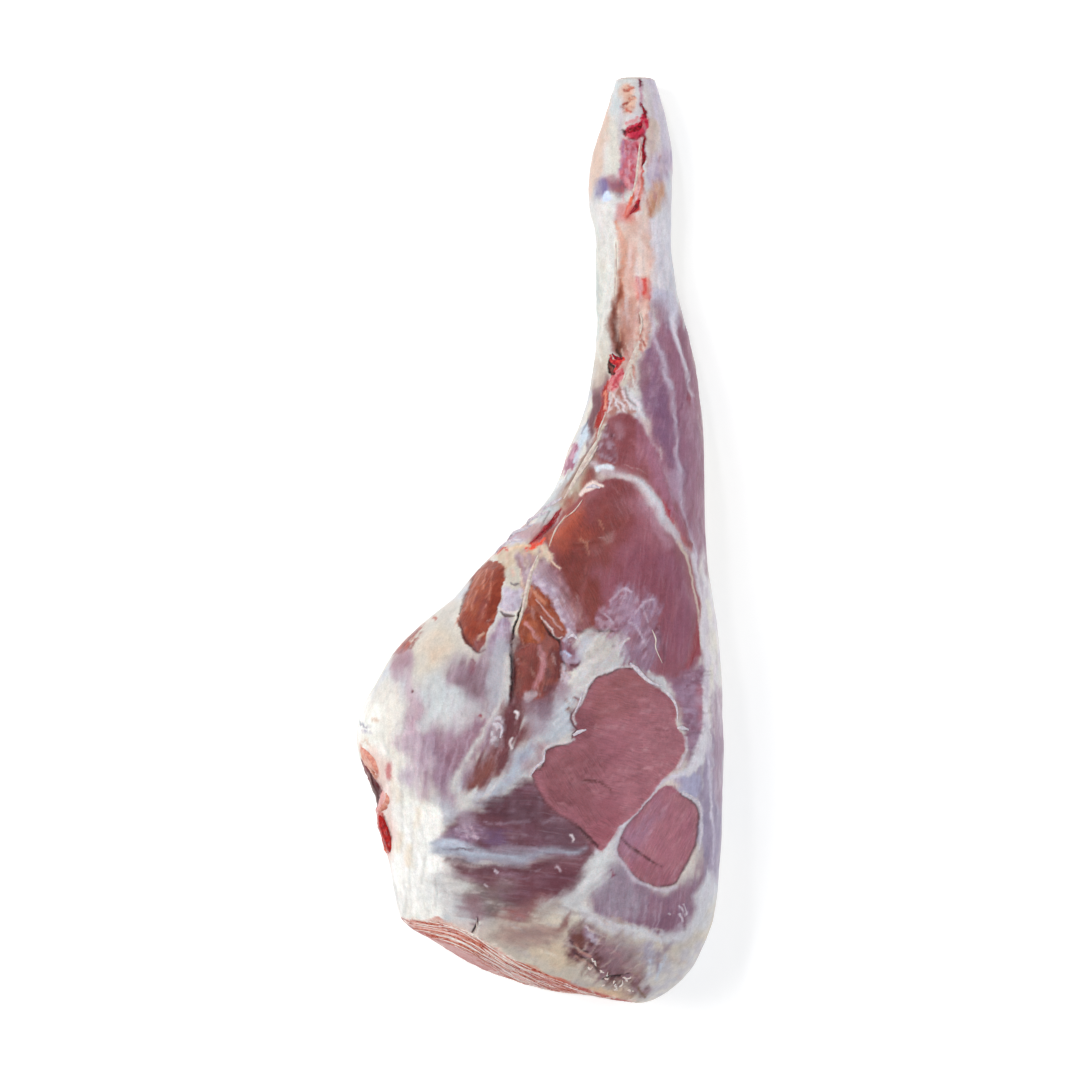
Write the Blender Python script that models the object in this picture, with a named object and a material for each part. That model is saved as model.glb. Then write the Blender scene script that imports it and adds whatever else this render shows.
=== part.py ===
"""Raw mutton leg: one solid piece of meat, from the sawn hock to the slanting cut across the rump.

It lies on its inner side. +Y runs from the rump to the hock, +Z is up, and X = 0 is midway across.
The body is a loft through cross-sections of the leg, which swells over the single muscles. A block then
takes off the rump along the butcher's cut, and an ellipsoid opens the pocket in the front edge.
"""
import math
from collections import namedtuple

import bmesh
import bpy
from mathutils import Matrix, Vector

MM = 0.001

# Cross-sections, hock to rump, in millimetres. left and right are the sides of the leg's outline seen from
# above, crest is where the upper side is highest and top how high, waist is the height of the widest line,
# and under is how low the section would reach if the board did not press it flat.
Section = namedtuple("Section", "y left right crest top waist under")
SECTIONS = (
    Section(250.5, 41.6, 62.4, 52.0, 27.0, 15.0, 4.0),
    Section(246.0, 39.8, 64.2, 52.0, 30.0, 15.5, 2.0),
    Section(233.0, 35.6, 68.2, 52.0, 35.0, 17.0, 0.0),
    Section(213.0, 29.6, 71.8, 51.0, 40.0, 19.0, -1.5),
    Section(193.0, 26.0, 72.0, 48.0, 43.5, 20.0, -2.0),
    Section(180.0, 26.8, 71.8, 48.0, 43.0, 20.5, -0.5),
    Section(168.0, 30.0, 71.8, 50.0, 40.5, 20.5, 2.0),
    Section(150.0, 30.8, 72.2, 52.0, 39.0, 20.5, 4.0),
    Section(129.0, 31.3, 75.8, 53.0, 40.0, 21.0, 5.0),
    Section(110.0, 31.0, 81.2, 55.0, 43.5, 22.0, 5.0),
    Section(90.0, 28.0, 85.6, 58.0, 50.0, 24.0, 4.0),
    Section(70.0, 24.0, 87.6, 59.0, 57.0, 27.0, 2.0),
    Section(48.0, 15.4, 88.8, 57.0, 65.5, 30.0, 0.0),
    Section(32.0, 10.0, 89.0, 54.0, 71.0, 32.0, -1.0),
    Section(19.0, 2.2, 89.2, 50.0, 76.0, 33.5, -2.0),
    Section(0.0, -16.5, 89.2, 44.0, 82.5, 35.5, -4.0),
    Section(-14.0, -31.5, 90.8, 39.0, 86.5, 37.5, -5.0),
    Section(-33.0, -47.8, 93.6, 32.0, 91.0, 39.0, -5.5),
    Section(-46.0, -64.3, 95.4, 27.0, 94.0, 40.0, -6.0),
    Section(-58.0, -77.2, 96.6, 24.0, 96.0, 41.0, -6.0),
    Section(-72.0, -85.9, 97.6, 21.0, 98.0, 42.0, -6.0),
    Section(-98.0, -98.4, 98.6, 18.0, 100.5, 43.0, -6.0),
    Section(-124.0, -95.8, 98.8, 16.0, 101.5, 43.0, -6.0),
    Section(-150.0, -87.8, 98.2, 15.0, 100.0, 42.0, -6.0),
    Section(-176.0, -81.2, 97.2, 15.0, 97.0, 41.0, -6.0),
    Section(-201.0, -76.4, 94.0, 16.0, 92.0, 40.0, -6.0),
    Section(-218.0, -72.0, 89.0, 17.0, 86.0, 38.0, -5.0),
    Section(-232.0, -66.0, 82.0, 18.0, 79.0, 36.0, -4.0),
    Section(-244.0, -60.0, 69.5, 18.0, 71.0, 34.0, -3.0),
    Section(-252.0, -55.0, 55.0, 14.0, 64.0, 32.0, -2.0),
    Section(-264.0, -48.0, 30.0, 6.0, 55.0, 30.0, -1.0),
)
RING_STEP = 7.5
RING_POINTS = 44
UPPER_ROUNDNESS = 2.25
LOWER_ROUNDNESS = 2.7

# Swellings and hollows of the upper side: centre, half width along X and Y, turn in degrees, and height.
Swelling = namedtuple("Swelling", "x y across along turn height")
SWELLINGS = (
    Swelling(46.0, -18.0, 34.0, 46.0, -14.0, 4.0),  # calf muscle
    Swelling(58.0, 45.0, 20.0, 40.0, 12.0, 2.5),  # muscle above the calf
    Swelling(40.0, -115.0, 40.0, 42.0, -20.0, 3.0),  # rump muscle
    Swelling(-50.0, -92.0, 34.0, 52.0, 12.0, 4.0),  # front of the thigh
    Swelling(-28.0, -34.0, 13.0, 24.0, 12.0, 2.5),  # muscle beside the knee
    Swelling(-8.0, -75.0, 5.0, 55.0, 4.0, -4.5),  # furrow between front and back muscles
    Swelling(-5.0, -150.0, 50.0, 24.0, -8.0, -3.0),  # hollow above the rump seam
    Swelling(50.0, 98.0, 5.5, 70.0, 3.0, -3.5),  # groove beside the shank bone
    Swelling(-10.0, -215.0, 60.0, 22.0, -18.0, -2.5),  # fall towards the cut
)

# The butcher's cut across the rump: the middle of its chord in plan, its slant, and how far the relaxed
# meat bulges out of the straight cut at the board and above.
CUT_CHORD_MIDDLE = (-11.5, -227.0)
CUT_CHORD = 139.0
CUT_SLANT = math.radians(18.7)
CUT_BULGE_LOW = 17.5
CUT_BULGE_HIGH = -6.0
CUT_HEIGHT = 104.0
CUT_BLOCK = Vector((320.0, 130.0, 90.0))  # width, height and depth of the block that is taken away
CUT_STEPS = 16

# The pocket in the front edge, left by the butcher's knife: half its depth, length and width, its turn in
# plan and its lean, so that it opens up and to the left.
POCKET_CENTRE = (-90.5, -142.0, 61.0)
POCKET_HALF_SIZES = (13.0, 29.0, 9.5)
POCKET_TURN = math.radians(15.0)
POCKET_LEAN = math.radians(32.0)
END_ANGLE = math.radians(50.0)  # edges sharper than this, as round the sawn hock, are shaded as edges

MEAT_COLOUR = (0.33, 0.13, 0.13, 1.0)
MEAT_ROUGHNESS = 0.38


def cubic(a, b, c, d, t):
    """Value between b and c on the smooth curve through four evenly treated values."""
    return 0.5 * (
        2 * b
        + (c - a) * t
        + (2 * a - 5 * b + 4 * c - d) * t * t
        + (3 * b - a - 3 * c + d) * t**3
    )


def section_at(y):
    """The cross-section at y, from a smooth curve through the named sections."""
    last = len(SECTIONS) - 1
    i = next((i for i in range(last) if SECTIONS[i + 1].y <= y), last - 1)
    four = [SECTIONS[min(max(k, 0), last)] for k in (i - 1, i, i + 1, i + 2)]
    t = (four[1].y - y) / (four[1].y - four[2].y)
    return Section(y, *(cubic(*(getattr(s, name) for s in four), t) for name in Section._fields[1:]))


def swelling_at(x, y):
    """How far the single muscles lift the upper side at (x, y)."""
    total = 0.0
    for s in SWELLINGS:
        c, sn = math.cos(math.radians(s.turn)), math.sin(math.radians(s.turn))
        dx, dy = x - s.x, y - s.y
        u = (dx * c + dy * sn) / s.across
        v = (dy * c - dx * sn) / s.along
        total += s.height * math.exp(-(u * u) - v * v)
    return total


def power(value, roundness):
    """Coordinate of a superellipse from a sine or a cosine."""
    return math.copysign(abs(value) ** (2.0 / roundness), value)


def ring_of(section):
    """Points of one cross-section, anticlockwise from its right side seen from the rump."""
    middle = (section.left + section.right) / 2
    points = []
    for k in range(RING_POINTS):
        angle = 2 * math.pi * k / RING_POINTS
        side, rise = math.cos(angle), math.sin(angle)
        edge = section.right if side > 0 else section.left
        if rise >= 0:
            x = section.crest + abs(power(side, UPPER_ROUNDNESS)) * (edge - section.crest)
            z = section.waist + (section.top - section.waist) * power(rise, UPPER_ROUNDNESS)
            z += swelling_at(x, section.y) * rise
        else:
            x = middle + abs(power(side, LOWER_ROUNDNESS)) * (edge - middle)
            z = section.waist + (section.waist - section.under) * power(rise, LOWER_ROUNDNESS)
        points.append(Vector((x, section.y, max(z, 0.0))) * MM)
    return points


def leg_mesh():
    """The lofted leg, closed at both ends."""
    start, end = SECTIONS[0].y, SECTIONS[-1].y
    steps = round((start - end) / RING_STEP)
    bm = bmesh.new()
    rings = []
    for k in range(steps + 1):
        y = start + (end - start) * k / steps
        rings.append([bm.verts.new(p) for p in ring_of(section_at(y))])
    for ring, following in zip(rings, rings[1:]):
        for k in range(RING_POINTS):
            n = (k + 1) % RING_POINTS
            bm.faces.new((ring[k], ring[n], following[n], following[k]))
    bm.faces.new(rings[0])
    bm.faces.new(rings[-1])
    bmesh.ops.recalc_face_normals(bm, faces=bm.faces)
    mesh = bpy.data.meshes.new("mutton_leg")
    bm.to_mesh(mesh)
    bm.free()
    mesh.shade_smooth()
    mesh.set_sharp_from_angle(angle=END_ANGLE)
    return mesh


def as_cutter(obj, collection):
    """Makes an object a wire helper that is not part of the leg."""
    obj.hide_render = True
    obj.display_type = "WIRE"
    for other in list(obj.users_collection):
        other.objects.unlink(obj)
    collection.objects.link(obj)
    return obj


def bulge_at(along, height):
    """How far the cut face stands out of the straight cut, at a distance along its chord and a height."""
    share = height / CUT_HEIGHT
    most = CUT_BULGE_LOW + (CUT_BULGE_HIGH - CUT_BULGE_LOW) * share
    return most * max(1 - (2 * along / CUT_CHORD) ** 2, -1.0)


def rump_block(collection):
    """A block whose inner face is the butcher's cut, hollowed where the relaxed meat bulges."""
    bm = bmesh.new()
    bmesh.ops.create_grid(bm, x_segments=CUT_STEPS, y_segments=CUT_STEPS // 2, size=0.5)
    for v in bm.verts:
        along, height = v.co.x * CUT_BLOCK.x, v.co.y * CUT_BLOCK.y + CUT_HEIGHT / 2
        v.co = Vector((along, height, bulge_at(along, height)))
    side = bmesh.ops.extrude_face_region(bm, geom=bm.faces[:])
    for v in side["geom"]:
        if isinstance(v, bmesh.types.BMVert):
            v.co.z = CUT_BLOCK.z
    bmesh.ops.recalc_face_normals(bm, faces=bm.faces)
    mesh = bpy.data.meshes.new("rump_block")
    bm.to_mesh(mesh)
    bm.free()
    across = Vector((-math.cos(CUT_SLANT), math.sin(CUT_SLANT), 0.0))
    outward = Vector((-math.sin(CUT_SLANT), -math.cos(CUT_SLANT), 0.0))
    turn = Matrix((across, Vector((0, 0, 1)), outward)).transposed().to_4x4()
    block = bpy.data.objects.new("rump_block", mesh)
    block.matrix_world = Matrix.Translation(Vector((*CUT_CHORD_MIDDLE, 0.0)) * MM) @ turn @ Matrix.Scale(MM, 4)
    return as_cutter(block, collection)


def pocket_ellipsoid(collection):
    """An ellipsoid as large as the pocket in the front edge."""
    bpy.ops.mesh.primitive_uv_sphere_add(segments=20, ring_count=12, radius=MM)
    ball = bpy.context.object
    ball.name = "pocket_ellipsoid"
    turn = Matrix.Rotation(POCKET_TURN, 4, "Z") @ Matrix.Rotation(POCKET_LEAN, 4, "Y")
    size = Matrix.Diagonal((*POCKET_HALF_SIZES, 1.0))
    ball.matrix_world = Matrix.Translation(Vector(POCKET_CENTRE) * MM) @ turn @ size
    return as_cutter(ball, collection)


def cut_away(obj, tool):
    modifier = obj.modifiers.new(tool.name, "BOOLEAN")
    modifier.operation = "DIFFERENCE"
    modifier.object = tool


def meat_material():
    material = bpy.data.materials.new("raw_mutton")
    material.use_nodes = True
    shader = material.node_tree.nodes["Principled BSDF"]
    shader.inputs["Base Color"].default_value = MEAT_COLOUR
    shader.inputs["Roughness"].default_value = MEAT_ROUGHNESS
    shader.inputs["Metallic"].default_value = 0.0
    return material


def main():
    for obj in list(bpy.data.objects):
        bpy.data.objects.remove(obj)
    parts = bpy.data.collections.new("mutton_leg")
    cutters = bpy.data.collections.new("cutters")
    for collection in (parts, cutters):
        bpy.context.scene.collection.children.link(collection)
    leg = bpy.data.objects.new("mutton_leg", leg_mesh())
    parts.objects.link(leg)
    leg.data.materials.append(meat_material())
    cut_away(leg, rump_block(cutters))
    cut_away(leg, pocket_ellipsoid(cutters))


main()
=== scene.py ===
"""Raw mutton leg, lying on its inner side on a pale board, seen from straight above."""
import math
from types import SimpleNamespace

import bmesh
import bpy
import numpy as np
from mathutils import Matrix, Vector
from mathutils.bvhtree import BVHTree


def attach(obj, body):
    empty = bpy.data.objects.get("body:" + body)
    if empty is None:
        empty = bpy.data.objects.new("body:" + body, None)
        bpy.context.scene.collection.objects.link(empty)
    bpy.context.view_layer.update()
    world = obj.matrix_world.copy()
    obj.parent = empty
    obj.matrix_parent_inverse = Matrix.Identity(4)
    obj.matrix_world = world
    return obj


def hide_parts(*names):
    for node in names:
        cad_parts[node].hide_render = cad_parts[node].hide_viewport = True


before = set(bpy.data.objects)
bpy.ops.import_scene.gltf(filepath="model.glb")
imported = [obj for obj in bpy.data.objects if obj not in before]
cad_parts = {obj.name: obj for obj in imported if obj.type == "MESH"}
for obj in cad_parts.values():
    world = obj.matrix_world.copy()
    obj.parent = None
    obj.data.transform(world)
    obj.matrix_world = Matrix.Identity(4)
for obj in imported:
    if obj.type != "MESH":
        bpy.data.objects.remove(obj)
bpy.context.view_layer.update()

MM = 0.001

# ---------------------------------------------------------------- camera and light
# The camera looks straight down from 2 m. Large soft boxes and a white room give the flat light of a
# cutting table, and one smaller lamp makes the wet places glint.
CAMERA_HEIGHT = 2000.0
CAMERA_Y = -0.54
PLAN_HEIGHT = 35.0  # plan positions, in millimetres, are true at this height above the board
VIEW_WIDTH = 583.2  # millimetres across at that height
SENSOR = 36.0

camera_data = bpy.data.cameras.new("camera")
camera_data.sensor_width = SENSOR
camera_data.lens = SENSOR * (CAMERA_HEIGHT - PLAN_HEIGHT) / VIEW_WIDTH
camera = bpy.data.objects.new("camera", camera_data)
camera.location = (0.0, CAMERA_Y * MM, CAMERA_HEIGHT * MM)
bpy.context.scene.collection.objects.link(camera)
bpy.context.scene.camera = camera
bpy.context.scene.view_settings.view_transform = "Standard"
bpy.context.scene.view_settings.look = "None"


def lamp(name, place, size, watts, tint):
    """A square soft box that points at the middle of the leg."""
    data = bpy.data.lights.new(name, "AREA")
    data.shape = "SQUARE"
    data.size = size
    data.energy = watts
    data.color = tint
    light = bpy.data.objects.new(name, data)
    light.location = place
    light.rotation_euler = (-Vector(place)).to_track_quat("-Z", "Y").to_euler()
    bpy.context.scene.collection.objects.link(light)


lamp("key", (-0.95, 0.25, 1.3), 0.9, 14.0, (1.0, 0.985, 0.96))
lamp("fill", (0.95, -0.5, 1.1), 1.2, 7.0, (0.95, 0.97, 1.0))
lamp("glint", (-0.35, 1.0, 1.3), 0.12, 2.4, (1.0, 1.0, 1.0))

world = bpy.data.worlds.new("white_room")
world.use_nodes = True
world.node_tree.nodes["Background"].inputs["Color"].default_value = (0.97, 0.98, 1.0, 1.0)
world.node_tree.nodes["Background"].inputs["Strength"].default_value = 0.47
bpy.context.scene.world = world


# ---------------------------------------------------------------- board
# A plain white floor, lit a little from inside like a light table. It only carries the leg and isn't
# part of it.
def linear(hex_colour):
    """An sRGB hex colour as linear values."""
    values = (int(hex_colour[i : i + 2], 16) / 255 for i in (1, 3, 5))
    return tuple(v / 12.92 if v <= 0.04045 else ((v + 0.055) / 1.055) ** 2.4 for v in values)


BOARD_HALF = 6.0

board_mesh = bpy.data.meshes.new("board")
board_bm = bmesh.new()
bmesh.ops.create_grid(board_bm, x_segments=1, y_segments=1, size=BOARD_HALF)
board_bm.to_mesh(board_mesh)
board_bm.free()
board = bpy.data.objects.new("board", board_mesh)
bpy.context.scene.collection.objects.link(board)
board_paint = bpy.data.materials.new("matt_white_board")
board_paint.use_nodes = True
board_shader = board_paint.node_tree.nodes["Principled BSDF"]
board_shader.inputs["Base Color"].default_value = (*linear("#FFFFFF"), 1.0)
board_shader.inputs["Roughness"].default_value = 0.8
board_shader.inputs["Specular IOR Level"].default_value = 0.1
board_shader.inputs["Emission Color"].default_value = (1.0, 1.0, 1.0, 1.0)
board_shader.inputs["Emission Strength"].default_value = 0.22  # a light table
board_mesh.materials.append(board_paint)


# ---------------------------------------------------------------- kinds of tissue
# Each muscle, layer of fat, sheet of silverskin and stain is a coat, and so is each painted highlight and
# each crease with its painted shade: an outline or a path in plan, in millimetres, with its colour and its
# kind of tissue. The coats are listed in the order in which they lie on each other, the deepest first, and
# the leg's own mesh takes them up afterwards.
FAT = dict(soft=6.0, fat=1.0, veil=0.1, bare=0.0)
MUSCLE = dict(soft=5.0, feather=1.5, fat=0.0, veil=0.8, bare=0.2)  # under its silverskin
BARE_MUSCLE = dict(soft=1.8, fat=0.0, veil=0.0, bare=1.0)
SILVERSKIN = dict(soft=3.0, ragged=1.4, share=0.8, veil=1.0)
SINEW = dict(soft=2.0, ragged=0.5, lift=0.6, fat=0.8, veil=0.3)
BLOOD = dict(soft=1.4, ragged=1.0, wet=0.9)
STAIN = dict(soft=3.0)
# A crease is sunk a little, and its tone is the shade that falls into it, painted on as a darker line.
SHADED_CREASE = dict(soft=1.0, ragged=0.4, share=0.8, lift=-0.5)

coats = []


def coat(kind, points, tone, width=None, **how):
    """Adds a coat. With a width, or widths along it, the points are a path, else a closed outline.

    soft is the width of its edge, ragged how far the edge wanders, feather how far streaks along the
    grain reach over it, share how much it covers, lift how high it stands, pillow over what width it
    rises to that height, wrap how far down the steep sides it goes, and other a second tone in lumps of
    `lump` mm. bare, veil, fat and wet say what the tissue is like, and grain is the direction of its
    fibres, in degrees from the leg's length.
    """
    values = dict(soft=2.0, ragged=0.8, feather=0.0, share=1.0, lift=0.0, pillow=3.0, other=None, lump=6.0)
    values.update(wrap=0.0, bare=None, veil=None, fat=None, wet=None, grain=None, closed=width is None)
    values.update(kind)
    values.update(how)
    coats.append(SimpleNamespace(points=points, tone=tone, width=width, seed=len(coats), **values))


def strew(seed, outline, count, tones, length, width, grain, **how):
    """Adds thin streaks along the grain, at random inside an outline."""
    choose = np.random.default_rng(seed)
    corners = np.array(outline)
    placed = 0
    while placed < count:
        x, y = choose.uniform(corners.min(0), corners.max(0))
        crossings = 0
        for (ax, ay), (bx, by) in zip(corners, np.roll(corners, -1, axis=0)):
            crossings += (ay > y) != (by > y) and x < ax + (bx - ax) * (y - ay) / (by - ay)
        if crossings % 2 == 0:
            continue
        turn = math.radians(grain + choose.normal(0, 5))
        reach = length * choose.uniform(0.5, 1.3) / 2
        sway = length * choose.uniform(-0.06, 0.06)
        along = np.array((-math.sin(turn), math.cos(turn)))
        across = np.array((math.cos(turn), math.sin(turn)))
        path = [tuple(np.array((x, y)) + along * reach * t + across * sway * (1 - t * t)) for t in (-1, 0, 1)]
        thick = width * choose.uniform(0.6, 1.5)
        values = dict(soft=1.6, share=choose.uniform(0.35, 0.8))
        values.update(how)
        coat(STAIN, path, str(choose.choice(tones)), width=(0.1, thick, 0.1), **values)
        placed += 1


# ---------------------------------------------------------------- hock and shank
# The leg is sawn off at the hock. Bare bone ends, shining tendons and a little clotted blood show here,
# under a thin white skin that hardly hides them.
coat(STAIN, ((11, 280), (108, 280), (108, 129), (86, 113), (11, 97)), "#D5D0D4", soft=30, other="#DCDDDC",
     lump=8, fat=0.7, veil=0.4, grain=4)
coat(FAT, ((36, 237), (39, 226), (31, 191), (26, 183), (24, 199)), "#DCC0B0", soft=5, share=0.85)
coat(FAT, ((38, 226), (43, 221), (44, 205), (40, 195), (36, 198), (35, 210)), "#DEDAD3", soft=4)
coat(STAIN, ((40, 249), (44, 249), (44, 234), (40, 229), (38, 233)), "#CFD6D9", soft=4, share=0.7)
coat(STAIN, ((58, 249), (63, 249), (71, 215), (69, 206), (62, 210)), "#D5CBDC", soft=5, share=0.8)
coat(STAIN, ((58, 227), (63, 227), (65, 220), (63, 210), (59, 209)), "#D6C3B5", share=0.8)
coat(SILVERSKIN, ((59, 208), (67, 211), (71, 207), (71, 196), (66, 190), (59, 192)), "#B7A5C1", soft=4,
     other="#CDBBD0", lump=4, share=0.85)
coat(STAIN, ((58, 185), (61, 190), (66, 191), (69, 185), (66, 178), (62, 173), (58, 174)), "#D3A184",
     soft=7, other="#C68A62", lump=4, share=0.85)
coat(STAIN, ((58.5, 183), (59, 177.5), (60, 173.5)), "#B5714A", width=0.9, soft=1.2, share=0.7)
coat(STAIN, ((68, 188), (72, 193), (73, 113), (69, 113), (67, 151)), "#D2D0DC", soft=4, share=0.75)
coat(FAT, ((30, 177), (34, 181), (39, 176), (40, 129), (38, 102), (30, 101), (28, 140)), "#DAD9D5",
     soft=4, lift=1.2, pillow=4)
coat(STAIN, ((30, 164), (33, 164), (33, 113), (30, 110)), "#C5D0CD", share=0.7)
coat(FAT, ((33, 181), (40, 180), (39, 166), (35, 164)), "#E8E6E4", soft=4, share=0.8)
coat(SINEW, ((41, 161.5), (41, 142.5), (40, 129)), "#EFE7D8", width=1.4, soft=1.4, lift=0.3)
coat(STAIN, ((45, 171), (59, 173), (62, 156), (60, 137), (56, 124), (48, 123), (44, 150)), "#DFB9AE",
     soft=5, other="#E2C8BE", fat=0.4, veil=0.5, grain=2)
coat(STAIN, ((54, 166), (53, 149.5), (52, 133.5)), "#EAD9D0", width=4, soft=4, share=0.6)
coat(SILVERSKIN, ((60, 170), (66, 173), (69, 161), (69, 134), (67, 129), (62, 140)), "#DDD9E1", soft=5,
     share=1.0, lift=0.6)
coat(STAIN, ((42, 171), (43, 161), (44, 150), (44, 137), (43, 126)), "#DC9A7C", width=(1.5, 3.2, 3.6, 3.6,
     3.0), lift=-0.6)
coat(STAIN, ((43, 162.5), (44.5, 153.5), (45, 142.5)), "#CC7250", width=1.2, soft=1.6, share=0.7)
coat(STAIN, ((44, 150), (45, 129), (49, 116), (48, 104), (42, 101), (39, 111), (39, 127)), "#C0806C",
     soft=5, other="#B0705C", lump=4, grain=3, veil=0.3, share=0.8)
coat(STAIN, ((44, 137), (40, 126), (40, 115), (43, 103)), "#8C4630", width=(1.6, 4.6, 6.0, 6.5), soft=3.6,
     share=0.9, grain=3)
coat(STAIN, ((39.5, 123.5), (40.5, 113), (42.5, 103.5)), "#70382A", width=(1.0, 2.4, 3.4), soft=2.0,
     share=0.8, lift=-0.8)
coat(STAIN, ((42.5, 129), (42.5, 118.5), (43.5, 107.5)), "#D2A48C", width=0.9, soft=1.2, share=0.6)
coat(STAIN, ((47, 128), (52, 130), (55, 123), (54, 111), (50, 105), (47, 114)), "#BE9086", soft=4,
     veil=0.5, share=0.9)
coat(STAIN, ((51, 140), (59, 142), (60, 131), (58, 124), (51, 131)), "#DB7A74", soft=4, share=0.85)
for path, tone, width in (
    (((52.5, 141.5), (53.5, 135.5), (52.5, 130.5)), "#D0302C", 2.2),
    (((55.5, 140.5), (56.5, 134.5), (55.5, 129)), "#D8504A", 1.8),
    (((59, 140.5), (59.5, 133.5), (58.5, 127)), "#C93E40", 1.2),
    (((52.5, 129), (54, 126.5)), "#D87A70", 1.0),
):
    coat(BLOOD, path, tone, width=width, soft=1.2, share=0.8)
coat(SILVERSKIN, ((52, 129), (59, 128), (60, 119), (58, 110), (54, 106), (50, 110)), "#CE9C92",
     other="#E2C4BA", lump=2.4, share=0.9)
coat(SINEW, ((54.5, 122.5), (55, 117), (54, 112)), "#E8DAD0", width=1, soft=1)
coat(SHADED_CREASE, ((54, 121.5), (54.5, 117)), "#7A4038", width=0.8)
coat(FAT, ((30, 105), (38, 102), (37, 90), (32, 82), (28, 83)), "#D3CDC3", soft=5)

SHANK_AREA = ((32.5, 237), (42, 248), (62, 248), (69, 215.5), (70, 177.5), (69, 129), (54, 107.5),
    (32.5, 105), (28, 172.5), (26, 199.5))
# Streaks along the fibres of the shank. Its near white streaks, here and on the tendons below, are partly
# painted highlights of the tendons' shine.
strew(11, SHANK_AREA, 46, ("#EFEDEE", "#E9E2E6", "#F4F2EE"), 26, 1.8, 2, share=0.35, soft=3.0)
strew(12, SHANK_AREA, 46, ("#C9BCC9", "#BFC3CC", "#CDBFB4", "#D3B9A9"), 20, 1.5, 2, share=0.3, soft=3.0)
strew(13, ((42, 170), (59, 172), (60, 129), (54, 107), (40, 107)), 34, ("#F0DED4", "#D2A08C", "#C68A78",
      "#E8C4B4"), 18, 1.3, 2, share=0.4, soft=2.4)
strew(14, ((30, 175), (39, 175), (39, 105), (30, 105)), 16, ("#FAFAF8", "#F4F1EC", "#D8D4C8"), 28, 1.5, 1,
      share=0.4, soft=2.6)
strew(15, ((63, 172), (68, 175), (70, 129), (64, 129)), 14, ("#EDE9F0", "#C8C4D4", "#F1EFF2"), 26, 1.4,
      -3, share=0.4, soft=2.6)

# Blood at the hock: a crimson clot, a thin vein and smears along the tendon.
coat(BLOOD, ((44.5, 216.5), (50, 216), (54, 214.5), (54, 209), (52.5, 202), (52, 191), (48.5, 188.5),
     (44.5, 190.5), (43, 198), (43, 207.5)), "#C98AA0", soft=2.4, other="#C64A66", lump=1.4, ragged=1.2,
     share=0.85, wet=0.5)
coat(STAIN, ((45, 214.5), (44.5, 207), (43.5, 199.5)), "#9A7AA4", width=1.6, soft=1.6, share=0.6)
coat(STAIN, ((36, 193), (39, 194), (44, 193), (47, 190), (46, 186), (43, 185), (39, 187)), "#7E4C64",
     soft=4.5, other="#9E5C64", lump=1.5, share=0.95)
coat(STAIN, ((32, 195), (35, 196), (36, 192), (35, 186), (32, 184), (31, 187)), "#7A6AA2", soft=5.5,
     share=0.9)
# A painted highlight: the bluish white glint on the wet tissue beside the purple spots.
coat(FAT, ((33, 185), (36, 188), (38, 185), (37, 183), (34, 182)), "#DCE7FC", soft=1.6, lift=0.5)
coat(BLOOD, ((44.5, 219), (47, 221.5), (51, 223.5), (54, 225.5), (56, 229.5), (58.5, 227), (59, 223), (57,
     220.5), (56, 218), (53.5, 216), (50, 216), (47, 217.5)), "#BE1244", other="#D8405E", lump=1.3,
     lift=0.5, pillow=1.2, wet=1.0)
coat(BLOOD, ((44.5, 220), (46.5, 219)), "#4A0C20", width=1.4)
coat(BLOOD, ((47.5, 217), (52, 216), (55.5, 218.5)), "#7C0A24", width=1, share=0.8)
coat(BLOOD, ((47, 223.5), (51, 225), (53, 227)), "#DE7880", width=1.6, share=0.7)
coat(STAIN, ((45, 245), (50, 245), (51, 237), (50, 230), (46, 231)), "#E3AE92", soft=4, share=0.7)
for path, tone, width in (
    (((45.5, 242.5), (48, 242.5)), "#A02C1C", 1.6),
    (((49, 243.5), (50, 243.5)), "#C8502C", 1.4),
    (((45.5, 235.5), (48, 236)), "#96281C", 1.6),
    (((48.5, 238), (51, 238)), "#D0603C", 1.2),
    (((47.5, 232.5), (49, 230.5)), "#C84A34", 1.2),
):
    coat(BLOOD, path, tone, width=width, wet=0.3, share=0.85)
coat(BLOOD, ((54.5, 248), (54.5, 244)), "#7A1038", width=1.5)
coat(STAIN, ((54.5, 243.5), (55, 238.5), (54.5, 235)), "#C795AA", width=1.4, soft=1.2, share=0.8)
coat(BLOOD, ((55, 235.5), (56.5, 231), (57, 228)), "#8E1030", width=(0.8, 1.8, 1.6))
coat(BLOOD, ((56, 218), (56.5, 214.5), (55.5, 210), (56, 206.5), (54.5, 201.5)), "#9C1428", width=(1.4,
     1.6, 2.2, 2.6, 1.6), ragged=0.7)
coat(SINEW, ((54, 214.5), (53.5, 204.5), (52.5, 195), (50, 184.5), (47, 175.5)), "#F0CBC2", width=(1.2,
     2.0, 2.2, 2.2, 1.2), soft=1.2)
coat(BLOOD, ((55, 201), (55, 191), (53.5, 183), (51, 176.5)), "#D2503E", width=(0.8, 1.4, 1.8, 1.4),
     soft=1.2, wet=0.5)
coat(BLOOD, ((50, 203), (49.5, 198), (48.5, 193)), "#C43A4C", width=1.4, soft=1.2, share=0.7, wet=0.5)
coat(BLOOD, ((51, 187.5), (48.5, 181.5), (45.5, 174.5)), "#E8764E", width=(1.0, 1.6, 1.0), soft=1.2,
     wet=0.4)
coat(STAIN, ((54, 194), (54.5, 186), (54, 177.5)), "#DDA096", width=2, soft=2.0, share=0.7)
coat(BLOOD, ((50, 179.5), (53, 183.5), (54.5, 181), (53, 177), (49, 175), (46.5, 173), (47.5, 176)),
     "#C41010", lift=0.5, pillow=1.0, wet=1.0)
coat(BLOOD, ((49, 175.5), (47, 173.5)), "#8A0C0C", width=1.4)

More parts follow.
